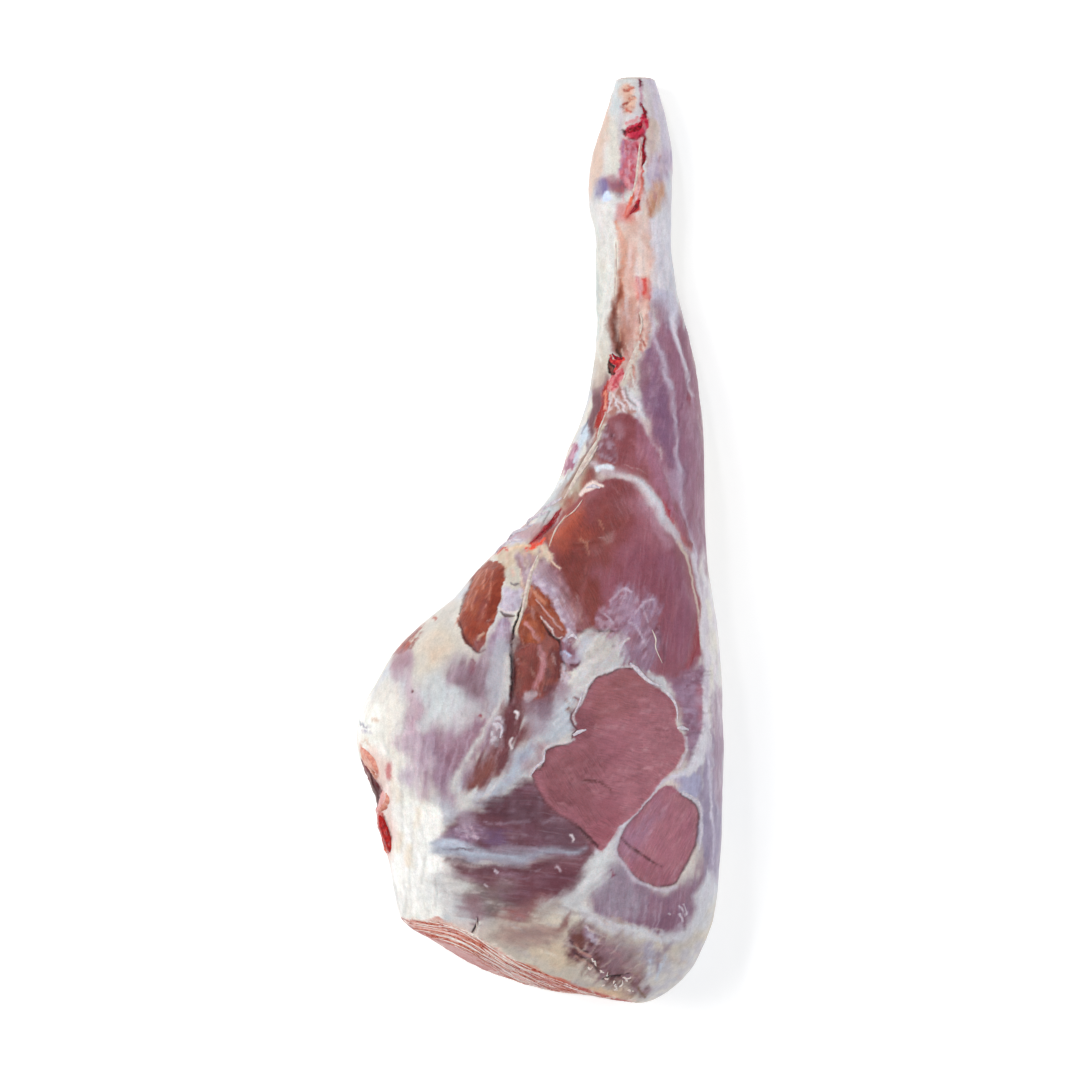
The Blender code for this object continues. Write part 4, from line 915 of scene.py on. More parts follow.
# ---------------------------------------------------------------- trimmed windows on the rump
# Two places where the silverskin was cut away: the bare muscle lies a little deeper, with ragged edges
# and, here and there, a white rim of torn skin round it.
RUMP_WINDOW = ((26, -81.5), (28, -77), (32.5, -74), (38.5, -71.5), (45, -69.5), (50, -70.5), (53.5, -74),
    (57, -77), (63, -80), (67.5, -83.5), (71.5, -88), (73, -93.5), (73.5, -99), (75.5, -103.5), (78, -108),
    (78, -113), (76, -117.5), (73, -123.5), (67, -129.5), (59, -139), (53, -146), (46.5, -152.5),
    (41, -156.5), (38.5, -161.5), (36, -166.5), (33.5, -168.5), (29, -164.5), (22.5, -157.5),
    (17.5, -153.5), (8.5, -147.5), (2.5, -142), (-1.5, -135.5), (-4, -129), (-4, -126), (1.5, -122),
    (2.5, -116), (6.5, -112.5), (12, -111), (16.5, -109), (17.5, -105.5), (19.5, -103.5), (17.5, -100.5),
    (16.5, -96), (20, -92), (24, -85.5))
OVAL_WINDOW = ((66, -134.5), (72, -134), (76.5, -137.5), (83, -142), (85.5, -147.5), (85.5, -156),
    (84, -163.5), (81, -171), (76.5, -179.5), (72, -186), (65, -188), (58.5, -186.5), (53, -183.5),
    (46.5, -177.5), (43, -171), (43, -164.5), (45, -159), (50, -150.5), (58.5, -141.5))
coat(BARE_MUSCLE, RUMP_WINDOW, "#A46D79", soft=1.2, ragged=0.5, other="#AC7580", lump=8, lift=-1.0,
     pillow=1.6, grain=78)
coat(BARE_MUSCLE, ((27, -81.5), (34.5, -74), (45.5, -69.5), (54, -75), (60.5, -83.5), (54, -90), (35.5,
     -90), (29, -99), (21.5, -100)), "#9A6466", soft=12, feather=2.0, share=0.75, grain=78)
coat(BARE_MUSCLE, ((16, -109.5), (30, -107.5), (35.5, -124.5), (32.5, -146.5), (29, -161.5), (14, -150.5),
     (-1, -135.5), (-2, -122.5), (5.5, -113)), "#9E6A74", soft=14, feather=1.0, other="#925E66", lump=3,
     share=0.85, grain=35)
coat(BARE_MUSCLE, ((0, -124.5), (11, -115), (24, -115), (27, -130), (19.5, -144), (6.5, -141)), "#8A565E",
     soft=9, other="#98646C", lump=2.4, share=0.7, grain=35)
coat(BARE_MUSCLE, ((29, -163.5), (32.5, -144), (43, -144), (42, -155), (36.5, -163.5), (33.5, -168)),
     "#A0626E", soft=8, share=0.75, grain=60)
coat(BARE_MUSCLE, ((54, -87), (69, -89), (73.5, -108.5), (65, -122.5), (52, -117), (48.5, -100)),
     "#AC7680", soft=12, feather=2.0, share=0.7, grain=84)
coat(BARE_MUSCLE, ((60.5, -117), (75.5, -114), (72.5, -124.5), (59.5, -136.5), (52, -139)), "#AE747E",
     soft=8, share=0.6, grain=60)
coat(BARE_MUSCLE, ((16.5, -100), (22.5, -92.5), (29, -99), (25, -108.5), (18, -106.5)), "#88545E", soft=5,
     share=0.8, grain=60)
coat(STAIN, ((54, -74), (60, -78), (69, -86), (73, -96)), "#8E4A54", width=1.4, soft=1.8, share=0.5)
# Painted shadow: the dark line where the window's left edge is undercut, and a fainter one along its lower
# left.
coat(SHADED_CREASE, RUMP_WINDOW[-11:] + RUMP_WINDOW[:6], "#5A2C34", width=1.0, lift=-0.4)
coat(SHADED_CREASE, RUMP_WINDOW[26:36], "#5A3038", width=1.0, soft=1.4, share=0.55, lift=-0.3)
coat(SINEW, ((49, -69), (39, -70), (32, -73), (25.5, -79), (24.5, -84), (20.5, -92), (18, -96), (18.5,
     -100)), "#DDD8DC", width=1.1, soft=1.2, share=0.85, lift=0.4)
coat(SINEW, ((18, -108), (12.5, -110), (6.5, -111), (2.5, -114.5), (1.5, -120), (-3, -123.5), (-5.5,
     -128)), "#D8D2D6", width=1.2, soft=1.4, share=0.85)
coat(SINEW, ((78.5, -107.5), (79, -114), (77, -118.5), (74.5, -123.5)), "#D6CED8", width=1.4, soft=1.4,
     share=0.8)
coat(FAT, ((90, -100), (90, -111), (87, -120), (83, -126), (78, -125)), "#DCD9DF", soft=3, share=0.9)
coat(BARE_MUSCLE, OVAL_WINDOW, "#AC7282", soft=1.2, ragged=0.5, other="#AE7A84", lump=4, lift=-0.8,
     pillow=1.6, grain=-28)
coat(MUSCLE, ((45, -161), (54, -150), (65, -140), (67, -144), (54, -171), (46, -171)), "#A47C92", soft=9,
     feather=2.4, share=0.75, bare=0.5, grain=-28)
coat(BARE_MUSCLE, ((67, -140), (78, -143), (79, -166), (70, -181), (61.5, -174.5), (62.5, -155)),
     "#B07684", soft=14, feather=1.0, share=0.7, grain=-28)
coat(BARE_MUSCLE, ((49.5, -174.5), (59.5, -176.5), (71.5, -180), (65, -187.5), (55, -184)), "#98606E",
     soft=7, share=0.6, grain=-28)
# Painted shade along the window's sunk edge, darker on its right than on its left.
coat(SHADED_CREASE, OVAL_WINDOW[2:11], "#5C3240", width=1.0, soft=1.2, share=0.75, lift=-0.4)
coat(SHADED_CREASE, OVAL_WINDOW[10:19], "#6E4450", width=0.9, soft=1.4, share=0.55, lift=-0.3)
coat(SINEW, ((78, -137), (85, -141.5), (87, -147.5), (87, -160.5), (85.5, -168)), "#DCD6DE", width=(1.8,
     1.4, 1.6, 1.4, 0.8), soft=1.3, share=0.85, lift=0.4)
coat(SINEW, ((42.5, -161.5), (41.5, -168), (44.5, -175.5), (51, -184), (59.5, -188.5), (67, -189.5),
     (73.5, -187.5)), "#CFC6D2", width=1.6, share=0.8, lift=0.3)
coat(SHADED_CREASE, ((44.5, -161.5), (48.5, -166), (54, -169.5), (60.5, -174.5), (66, -177)), "#5E3438",
     width=(0.7, 1.5, 1.9, 1.4, 0.6), soft=1.3, lift=-0.7)
coat(SHADED_CREASE, ((18, -132), (24, -130.5), (29.5, -130.5), (33.5, -132)), "#5E3434", width=(0.5, 1.4, 1.4,
     0.7), soft=1.4, lift=-0.6)
coat(SHADED_CREASE, ((34, -132), (37.5, -135), (41, -140)), "#6E4040", width=(0.9, 1.4, 0.6), soft=1.4,
     share=0.75, lift=-0.5)
coat(SHADED_CREASE, ((18.5, -154), (25, -159.5), (31.5, -166)), "#47222A", width=(0.8, 1.8, 1.2), soft=1.2,
     lift=-0.6)
for path, tone in (
    (((30, -101), (39, -102), (46.5, -101)), "#BF939A"),
    (((50, -113), (54, -112.5), (58, -114.5)), "#D6B0B6"),
    (((59.5, -102), (70, -102)), "#C79CA4"),
    (((55.5, -124.5), (61, -124)), "#CDA2AA"),
    (((63.5, -118.5), (67.5, -117)), "#CDA2AA"),
    (((34.5, -91.5), (43, -90)), "#B88890"),
    (((41, -81.5), (48.5, -80.5)), "#B88890"),
    (((39, -124.5), (45.5, -122.5)), "#BC9098"),
    (((54, -93.5), (62.5, -93)), "#C296A0"),
    (((27, -117), (30, -124.5)), "#7C484C"),
    (((14, -126), (18.5, -133.5)), "#B08084"),
    (((65, -147.5), (69, -144)), "#C89CA6"),
    (((56, -161.5), (62.5, -156)), "#C09AA8"),
    (((71.5, -166), (76.5, -161.5)), "#C29098"),
):
    coat(STAIN, path, tone, width=0.8, soft=1.4, share=0.65)
strew(51, RUMP_WINDOW, 90, ("#BC8C96", "#C69AA2", "#B27E88"), 12, 0.8, 80, share=0.4)
strew(52, RUMP_WINDOW, 70, ("#8A505C", "#824A50", "#92585E"), 10, 0.9, 78, share=0.4)
strew(53, OVAL_WINDOW, 34, ("#C8A0AC", "#BE8E9C", "#8A5560"), 11, 0.8, -28, share=0.4)
strew(54, ((32, -184), (81, -184), (89, -168), (91, -190), (79, -212), (32, -204)), 50, ("#B6A0B2",
      "#AE92A4", "#7C5A70", "#C9BCCA"), 16, 1.0, -8, share=0.4)
strew(55, ((86, -11), (98, -33), (100, -109), (99, -190), (89, -190), (89, -87)), 50, ("#F2EFF2",
      "#C4B4C4", "#E6E0E8", "#B4A4B8"), 24, 1.1, 2, share=0.4)
strew(56, ((15, -214), (54, -217), (59, -235), (49, -246), (16, -230)), 40, ("#B8989A", "#5A3038",
      "#D8C6BE", "#8A6468", "#6E4448"), 8, 0.9, -42, share=0.6)
strew(57, ((-22, -206), (27, -198), (86, -217), (81, -238), (32, -248), (-11, -227)), 60, ("#DCD4CC",
      "#B8A89C", "#EAE4DC", "#C4A898", "#A8A2AA"), 12, 1.0, 70, share=0.45)
strew(58, ((73, -78), (90, -70), (90, -109), (81, -122), (78, -103)), 30, ("#BCA6BA", "#7E5A70",
      "#C8BCCC"), 9, 1.1, 84, share=0.45)

# The edge of the cut: a band of fibrous muscle, with white and brown threads along it.
CUT_BAND = ((-80, -204), (-69, -205), (-57, -207), (-46.5, -209), (-36.5, -213), (-29, -218),
    (-21.5, -222.5), (-13, -228), (-5, -231.5), (4, -236), (12, -239), (21.5, -242.5), (30, -245),
    (41, -248), (54, -250), (43, -259.5), (11, -255.5), (-32.5, -243.5), (-70, -224.5), (-82, -211))
coat(BARE_MUSCLE, CUT_BAND, "#E0AEA4", soft=1.4, ragged=1.4, other="#EDD2CC", lump=4, lift=-0.5, pillow=2,
     grain=71, wet=0.3)
coat(SINEW, CUT_BAND[1:15], "#E6D6CA", width=1.0, soft=1.2, ragged=0.9, lift=0.5, share=0.85)
strew(61, CUT_BAND, 70, ("#F2E6DE", "#E8D2C8", "#F0DCD4"), 16, 0.9, 71, share=0.75, soft=1.0)
strew(62, CUT_BAND, 60, ("#B05044", "#C86A5A", "#9A4A3A", "#A84A40"), 14, 0.9, 71, share=0.7, soft=1.0)
strew(63, ((-11, -228), (11, -237), (22, -242), (11, -247), (-11, -238)), 20, ("#D0502E", "#C8583A",
      "#E0805C"), 10, 1.0, 71, share=0.7)
strew(64, ((-80, -203), (-57, -205), (-36, -211), (-38, -215), (-59, -210), (-80, -208)), 20, ("#C87A6A",
      "#E2B4A8", "#B85C4C"), 8, 0.9, 80, share=0.6)

# The last small changes of tone inside the muscles and fat.
for outline, tone, soft in (
    (((6.5, 0.5), (14, 0.5), (18.5, -5), (15, -10.5), (7.5, -9)), "#B0604E", 8),
    (((-11, 7), (-2, 9), (1, 4), (-3, -1.5), (-9.5, -0.5)), "#B88688", 5),
    (((51, 96.5), (58.5, 95.5), (60.5, 86), (54, 82.5)), "#8E6572", 5),
    (((34.5, 197), (41, 198), (42, 190.5), (36.5, 188.5)), "#A86A7C", 4),
    (((60.5, 129), (67, 129), (68, 120.5), (61.5, 119.5)), "#A67C88", 6),
    (((0, -87), (6.5, -87), (7.5, -95.5), (1, -96.5)), "#806070", 5),
    (((8.5, -78.5), (15, -78.5), (16, -87), (9.5, -88)), "#9A7A88", 5),
    (((-18.5, -52.5), (-12, -52.5), (-11, -61), (-16, -62)), "#7A5658", 4),
    (((70, 35), (75.5, 35), (76.5, 24.5), (71.5, 23)), "#BEA6BA", 5),
    (((42, 181), (51, 181), (51, 171), (43, 171)), "#DA7A72", 5),
    # A painted highlight: lilac white at the left end of the lower thigh.
    (((-44.5, -147.5), (-38, -146.5), (-34.5, -153), (-41, -157)), "#B4A2B0", 5),
):
    coat(STAIN, outline, tone, soft=soft, share=0.65)


# ---------------------------------------------------------------- inner side and sawn end
# The inner side of the leg lies on the board. Fat covers its edges, and the topside and gaskin muscles
# show through their silverskin. Each place is an oval in plan, in millimetres.
VEILED = dict(bare=0.1, veil=0.9, fat=0.0)
TRIMMED = dict(bare=0.9, veil=0.1, fat=0.0)
UNDERSIDE = (
    ((10, -95), (62, 85), "#8F6474", VEILED),
    ((-28, -120), (34, 48), "#9A6A72", VEILED),
    ((38, -70), (26, 44), "#8A5668", VEILED),
    ((18, -150), (30, 26), "#9C5A58", TRIMMED),
    ((52, 20), (22, 46), "#95606C", VEILED),
    ((60, 92), (13, 42), "#93707F", VEILED),
    ((48, 150), (9, 40), "#B59AA2", VEILED),
    ((-10, -35), (20, 30), "#A07C86", VEILED),
    ((-50, -190), (20, 22), "#B08A88", VEILED),
)
UNDER_SEAMS = (
    ((-40, -215), (-24, -150), (-10, -95), (6, -40), (26, 10), (40, 45), (50, 90)),
    ((66, -165), (44, -115), (18, -66), (6, -40)),
    ((30, -230), (24, -185), (4, -150), (-20, -132)),
    ((62, -40), (50, -4), (58, 40)),
)
SHANK_BONES = (((50.5, 17.0), (7.0, 6.4)), ((57.6, 10.2), (2.6, 2.4)))


# ---------------------------------------------------------------- flesh of the leg
# One solid of muscle, fat and bone. Its mesh follows the solid's own surface and takes up the coats
# above as colour and as relief. It is coarse underneath, finer on the side that shows, and finest
# where the colour or the relief changes quickly.
VOXEL = 4.0  # mesh spacing of the underside, in millimetres: half of it on top, down to an eighth there
TOP_FACING = -0.15  # faces whose normals rise more than this are on the side that shows
FINE_FACES = 9900  # how many faces are split in the second round
FINEST_FACES = 5700  # and how many in the third
SHARP_FROM = 241.0  # beyond this y, in millimetres, the mesh keeps the edge of the sawn end
BUSY_ENOUGH = 0.02  # faces over which less changes are never split again
CUT_SLANT = math.radians(18.7)  # the knife's cut is turned this much from straight across
CUT_MIDDLE = (-11.5, -227.0)  # x and y, in millimetres, of the middle of the cut
CUT_WIDTH = 139.0
CUT_SWELL = (17.5, -6.0)  # how far the cut bulges at the board and at the top
LEG_HEIGHT = 104.0
SAWN_FROM = 245.0  # the bone's paint begins at this y
UNDER_FACING = -0.25  # normals that point lower than this belong to the underside
FACING_SPAN = 0.3  # over this change of a normal's z a coat fades out
CURVE_STEPS = 4  # points of a smooth line between two given ones
DEPTH_OF_TONE = 1.17  # the tones are as they look under the lamps, and the dark ones a little darker
NOISE_SIDE = 32  # cells of the noise along each side, after which it repeats
NOISE_SHIFT = 4096.0  # keeps the cells of the noise positive
NOISE_GAIN = 1.5
STREAK_LUMP = (1.6, 15.0)  # across and along the grain
OTHER_SEED = 200  # added to a coat's own seed for its second tone
STREAK_SEED = 400  # and for its streaks

flesh_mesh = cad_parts["mutton_leg"].data.copy()
flesh_bm = bmesh.new()
flesh_bm.from_mesh(flesh_mesh)
bmesh.ops.remove_doubles(flesh_bm, verts=flesh_bm.verts, dist=0.01 * MM)
flesh_bm.to_mesh(flesh_mesh)
solid_skin = BVHTree.FromBMesh(flesh_bm)
flesh_bm.free()
flesh = bpy.data.objects.new("leg_flesh", flesh_mesh)
bpy.context.scene.collection.objects.link(flesh)
remesh = flesh.modifiers.new("even_mesh", "REMESH")
remesh.mode = "VOXEL"
remesh.voxel_size = VOXEL * MM
even = bpy.data.meshes.new_from_object(flesh.evaluated_get(bpy.context.evaluated_depsgraph_get()))
flesh.modifiers.clear()


def curve_through(points, closed):
    """A smooth line through given points."""
    p = np.array(points, float)
    if len(p) < 3:
        return p
    ends = (p[-1], p[0], p[1]) if closed else (2 * p[0] - p[1], 2 * p[-1] - p[-2], p[-1])
    p = np.vstack((ends[0], p, ends[1], ends[2]) if closed else (ends[0], p, ends[1]))
    a, b, c, d = (p[i : len(p) - 3 + i, None] for i in range(4))
    t = (np.arange(CURVE_STEPS) / CURVE_STEPS)[None, :, None]
    line = 0.5 * (2 * b + (c - a) * t + (2 * a - 5 * b + 4 * c - d) * t**2 + (3 * b - a - 3 * c + d) * t**3)
    line = line.reshape(-1, 2)
    return line if closed else np.vstack((line, p[-2]))


def nearest_on(line, closed, spots):
    """Distance of each spot to a line, and how far along the line, from 0 to 1, the nearest point is."""
    ends = np.roll(line, -1, axis=0) if closed else line[1:]
    starts = line[: len(ends)]
    best = np.full(len(spots), np.inf)
    along = np.zeros(len(spots))
    for k, (a, b) in enumerate(zip(starts, ends)):
        way = b - a
        t = np.clip(((spots - a) @ way) / max(way @ way, 1e-9), 0, 1)
        gap = np.hypot(*(spots - a - t[:, None] * way).T)
        closer = gap < best
        best[closer] = gap[closer]
        along[closer] = (k + t[closer]) / len(starts)
    return best, along


def is_inside(line, spots):
    """Which spots lie inside an outline."""
    x, y = spots.T
    inside = np.zeros(len(spots), bool)
    for (ax, ay), (bx, by) in zip(line, np.roll(line, -1, axis=0)):
        crosses = (ay > y) != (by > y)
        level = np.where(crosses, y, ay)
        inside ^= crosses & (x < ax + (bx - ax) * (level - ay) / (by - ay if by != ay else 1.0))
    return inside


def in_plan(places):
    """Plan positions, in millimetres at PLAN_HEIGHT, of places in millimetres."""
    grow = (CAMERA_HEIGHT - PLAN_HEIGHT) / (CAMERA_HEIGHT - places[:, 2])
    return np.column_stack((places[:, 0] * grow, (places[:, 1] - CAMERA_Y) * grow + CAMERA_Y))


def ease(t):
    """Smooth step from 0 to 1."""
    t = np.clip(t, 0, 1)
    return t * t * (3 - 2 * t)


def lumps(places, size, seed):
    """Smooth noise, about -1 to 1, in lumps of that many millimetres."""
    lattice = np.random.default_rng(seed).uniform(-1, 1, (NOISE_SIDE,) * places.shape[1])
    p = places / size + NOISE_SHIFT
    low = np.floor(p).astype(int)
    t = ease(p - low)
    total = 0.0
    for corner in range(2 ** places.shape[1]):
        step = np.array([corner >> axis & 1 for axis in range(places.shape[1])])
        values = lattice[tuple(((low + step) % NOISE_SIDE).T)]
        total = total + np.prod(np.where(step, t, 1 - t), axis=1) * values
    return total * NOISE_GAIN


def lay(colours, tone, share):
    """Mixes a tone into an array of colours, at each place by its own share."""
    colours += (np.array(linear(tone)) - colours) * share[:, None]


def turn_into(marks, kinds, share):
    """Turns the kinds of tissue into the wanted ones, at each place by its own share."""
    for kind, wanted in kinds.items():
        marks[kind] += (wanted - marks[kind]) * share


def turned(spots, degrees):
    """Plan positions along and across a direction of the fibres."""
    turn = math.radians(degrees)
    return np.column_stack((spots[:, 0] * math.cos(turn) + spots[:, 1] * math.sin(turn),
                            spots[:, 1] * math.cos(turn) - spots[:, 0] * math.sin(turn)))


def painted(places, normals):
    """Colour, rise, kinds of tissue and grain direction at places in millimetres on the leg."""
    count = len(places)
    plan = in_plan(places)
    below = ease((UNDER_FACING - normals[:, 2]) / FACING_SPAN)
    colour = np.tile(linear("#DCD8D3"), (count, 1))
    spread = lumps(places, 14, 90)
    lay(colour, "#E4E0D6", ease(spread))
    lay(colour, "#CDD0D6", ease(-spread))
    rise = 0.35 * lumps(places, 16, 91) + 0.12 * lumps(places, 5, 92)
    marks = {"bare": np.zeros(count), "veil": np.full(count, 0.25), "fat": np.ones(count),
             "wet": np.zeros(count)}
    turns = np.zeros(count)

    # The inner side, which lies on the board, has the same fat and, in places, muscle under silverskin.
    for place, reach, tone, kinds in UNDERSIDE:
        gap = np.hypot(*((plan - place) / reach).T)
        gap += 0.14 * lumps(places, 14, 93) + 0.04 * lumps(places, 5, 94)
        mask = below * ease((1.25 - gap) / 0.55)
        meat_colour = np.array(linear(tone)) * (1 + 0.12 * lumps(places, 7, 95)[:, None])
        colour += (meat_colour - colour) * mask[:, None]
        turn_into(marks, kinds, mask)
    for seam in UNDER_SEAMS:
        gap = nearest_on(curve_through(seam, False), False, plan)[0] + 1.5 * lumps(places, 9, 98)
        mask = 0.8 * below * ease((6.0 - gap) / 5.0)
        lay(colour, "#DDD5D2", mask)
        rise += 0.4 * mask

    wander = 0.35 * np.column_stack([lumps(places, 1.0, seed) for seed in (101, 102)])
    wander += 0.65 * np.column_stack([lumps(places, 3.0, seed) for seed in (103, 104)])
    broad = np.column_stack([lumps(places, 9.0, seed) for seed in (105, 106)])
    for c in coats:
        line = curve_through(c.points, c.closed)
        widths = np.atleast_1d(0.0 if c.width is None else c.width)
        margin = 1.7 * c.soft + 2 * c.ragged + 1.6 * c.feather + widths.max() / 2 + 0.5
        near = np.where(((plan > line.min(0) - margin) & (plan < line.max(0) + margin)).all(1))[0]
        spots = plan[near] + c.ragged * wander[near] + 0.35 * c.soft * broad[near]
        gap, along = nearest_on(line, c.closed, spots)
        if c.width is None:
            depth = np.where(is_inside(line, spots), gap, -gap)
        else:
            depth = np.interp(along, np.linspace(0, 1, len(widths)), widths) / 2 - gap
        streak = 0.0
        if c.feather:
            grain_places = turned(plan[near], c.grain or 0.0) / STREAK_LUMP
            streak = c.feather * lumps(grain_places, 1.0, c.seed + STREAK_SEED)
        shown = ease((normals[near, 2] + 0.1 + c.wrap) / FACING_SPAN)  # it thins out down the steep sides
        mask = c.share * shown * ease((depth + streak) / (c.soft + c.feather) + 0.5)
        tone = np.tile(linear(c.tone), (len(near), 1))
        if c.other:
            lay(tone, c.other, ease(0.5 + 0.9 * lumps(places[near], c.lump, c.seed + OTHER_SEED)))
        colour[near] += (tone - colour[near]) * mask[:, None]
        hump = ease(depth / (c.pillow if c.width is None else max(widths.max() / 2, 0.4)))
        rise[near] += c.lift * shown * hump
        for kind, values in marks.items():
            wanted = getattr(c, kind)
            if wanted is not None:
                values[near] += (wanted - values[near]) * mask
        if c.grain is not None:
            turns[near[mask > 0.5]] = c.grain

    # Veiled muscle is blotched, lengthwise and in fine streaks, by how thick its silverskin is.
    blotch = 0.5 * lumps(places / (1.0, 2.2, 1.0), 7.0, 96) + 0.5 * lumps(places / (1.0, 2.0, 1.0), 3.0, 97)
    haze = marks["veil"] * (1 - marks["fat"]) * 0.13 * blotch
    lay(colour, "#C4B4C6", np.clip(haze, 0, 1))
    lay(colour, "#6E3848", np.clip(-haze, 0, 1))

    # The knife's cut at the rump is bare muscle with fat round it, and the sawn end at the hock is bone.
    for finish in (cut_face, sawn_end):
        finish(places, normals, colour, rise, marks)
    return np.clip(colour, 0, 1) ** DEPTH_OF_TONE, rise, marks, turns


def cut_face(places, normals, colour, rise, marks):
    """Paints the knife's cut through the rump: salmon muscle with white seams, inside a rim of fat."""
    out = -np.array((math.sin(CUT_SLANT), math.cos(CUT_SLANT)))
    across = np.array((-math.cos(CUT_SLANT), math.sin(CUT_SLANT)))
    from_middle = places[:, :2] - CUT_MIDDLE
    stands_out = from_middle @ out
    along = from_middle @ across
    swell = CUT_SWELL[0] - (CUT_SWELL[0] - CUT_SWELL[1]) * places[:, 2] / LEG_HEIGHT
    face = swell * np.maximum(1 - (2 * along / CUT_WIDTH) ** 2, -1)
    facing = normals[:, :2] @ out
    mask = ease((stands_out - face + 2.6) / 1.2) * ease((facing - 0.45) / 0.2)
    face_plan = np.column_stack((along, places[:, 2]))
    fibre = lumps(face_plan / (1.4, 3.5), 1.0, 500)
    groups = lumps(face_plan, 26.0, 501) + 0.25 * lumps(face_plan, 9.0, 504) + 0.04 * fibre
    tone = np.tile(linear("#BC6460"), (len(places), 1))
    lay(tone, "#D08C82", ease(0.35 + 0.3 * fibre + 0.4 * groups))
    lay(tone, "#94484A", 0.7 * ease(lumps(places, 12, 502) - 0.2))
    seam = np.maximum(ease(1.25 - 13.0 * np.abs(groups - 0.12)),
                      0.5 * ease(2.2 * lumps(face_plan, 2.2, 505) - 1.4))
    lay(tone, "#E2D6CC", 0.85 * seam)
    rim = ease((np.abs(along) - 60.0) / 7.0) + ease((places[:, 2] - 72.0) / 10.0)
    rim += ease((7.0 - places[:, 2]) / 4.0)
    lay(tone, "#E6DFD2", np.clip(rim, 0, 0.9))
    colour += (tone - colour) * mask[:, None]
    turn_into(marks, dict(bare=0.9, veil=0.0, fat=0.1, wet=0.3), mask)


def sawn_end(places, normals, colour, rise, marks):
    """Paints the sawn end of the shank: two rings of bone with marrow, and tendons round them."""
    mask = ease((normals[:, 1] - 0.6) / 0.2) * ease((places[:, 1] - SAWN_FROM) / 1.5)
    if not mask.any():
        return
    tone = np.tile(linear("#D9C8BE"), (len(places), 1))
    face = places[:, (0, 2)]
    for middle, half in SHANK_BONES:
        reach = np.hypot(*((face - middle) / half).T) + 0.06 * lumps(places, 4, 503)
        lay(tone, "#EFE9DC", ease((1.05 - reach) / 0.12))
        lay(tone, "#A86A5C", ease((0.62 - reach) / 0.15))
    colour += (tone - colour) * mask[:, None]
    rise *= 1 - mask
    marks["veil"] *= 1 - mask


def mesh_state(mesh_bm):
    """Places in millimetres and normals of a mesh's vertices."""
    places = np.array([v.co for v in mesh_bm.verts]) / MM
    return places, np.array([v.normal for v in mesh_bm.verts])


def smooth(mesh_bm, times, factor):
    """Evens out the mesh. At the sawn end it follows the solid's skin again, which keeps its edge."""
    for _ in range(times):
        bmesh.ops.smooth_vert(mesh_bm, verts=mesh_bm.verts, factor=factor, use_axis_x=True, use_axis_y=True,
                              use_axis_z=True)
    for v in mesh_bm.verts:
        if v.co.y > SHARP_FROM * MM:
            v.co = solid_skin.find_nearest(v.co)[0]
    mesh_bm.normal_update()


def split_faces(mesh_bm, chosen):
    """Splits the chosen faces into four."""
    edges = {e for f in chosen for e in f.edges}
    bmesh.ops.subdivide_edges(mesh_bm, edges=list(edges), cuts=1, use_grid_fill=True)
    bmesh.ops.triangulate(mesh_bm, faces=[f for f in mesh_bm.faces if len(f.verts) > 4])
    mesh_bm.normal_update()


def busiest(mesh_bm, how_many):
    """The faces over which the coats change colour or rise the most."""
    places, normals = mesh_state(mesh_bm)
    colour, rise, _, _ = painted(places, normals)
    end_edge = (places[:, 1] > SHARP_FROM)[:, None] * normals * 0.3
    seen = np.column_stack((np.sqrt(colour), 0.12 * rise, end_edge))
    mesh_bm.verts.index_update()
    faces = [f for f in mesh_bm.faces if f.normal.z > TOP_FACING]
    change = np.zeros(len(faces))
    for k, f in enumerate(faces):
        values = seen[[v.index for v in f.verts]]
        change[k] = np.ptp(values, axis=0).max()
    order = np.argsort(-change)[:how_many]
    return [faces[k] for k in order if change[k] > BUSY_ENOUGH]


flesh_bm = bmesh.new()
flesh_bm.from_mesh(even)
smooth(flesh_bm, 2, 0.5)
split_faces(flesh_bm, [f for f in flesh_bm.faces if f.normal.z > TOP_FACING])
smooth(flesh_bm, 2, 0.5)
split_faces(flesh_bm, busiest(flesh_bm, FINE_FACES))
smooth(flesh_bm, 1, 0.3)
split_faces(flesh_bm, busiest(flesh_bm, FINEST_FACES))
places, normals = mesh_state(flesh_bm)
flesh_bm.to_mesh(flesh_mesh)
flesh_bm.free()

colour, rise, marks, turns = painted(places, normals)
places += normals * rise[:, None]
places[:, 2] = np.maximum(places[:, 2], 0.0)
flesh_mesh.vertices.foreach_set("co", (places * MM).astype(np.float32).ravel())

paint = flesh_mesh.attributes.new("paint", "FLOAT_COLOR", "POINT")
opaque = np.column_stack((np.clip(colour, 0, 1), np.ones(len(places))))
paint.data.foreach_set("color", opaque.astype(np.float32).ravel())
for kind, values in marks.items():
    flesh_mesh.attributes.new(kind, "FLOAT", "POINT").data.foreach_set("value", values.astype(np.float32))
first_corners = [polygon.vertices[0] for polygon in flesh_mesh.polygons]
turn = -np.radians(turns[first_corners]).astype(np.float32)
flesh_mesh.attributes.new("turn", "FLOAT", "FACE").data.foreach_set("value", turn)
flesh_mesh.shade_smooth()


def node(tree, kind, settings=None, **links):
    """Adds a node. Settings are its properties, and each link is a value or another node's output."""
    new = tree.nodes.new(kind)
    for name, value in (settings or {}).items():
        setattr(new, name, value)
    for name, value in links.items():
        socket = new.inputs[int(name[1:])] if name[1:].isdigit() else new.inputs[name.replace("_", " ")]
        if isinstance(value, bpy.types.NodeSocket):
            tree.links.new(value, socket)
        else:
            socket.default_value = value
    return new


def noise(tree, place, scale, detail, roughness=0.5):
    """A noise texture at a place."""
    return node(tree, "ShaderNodeTexNoise", None, Vector=place, Scale=scale, Detail=detail,
                Roughness=roughness).outputs


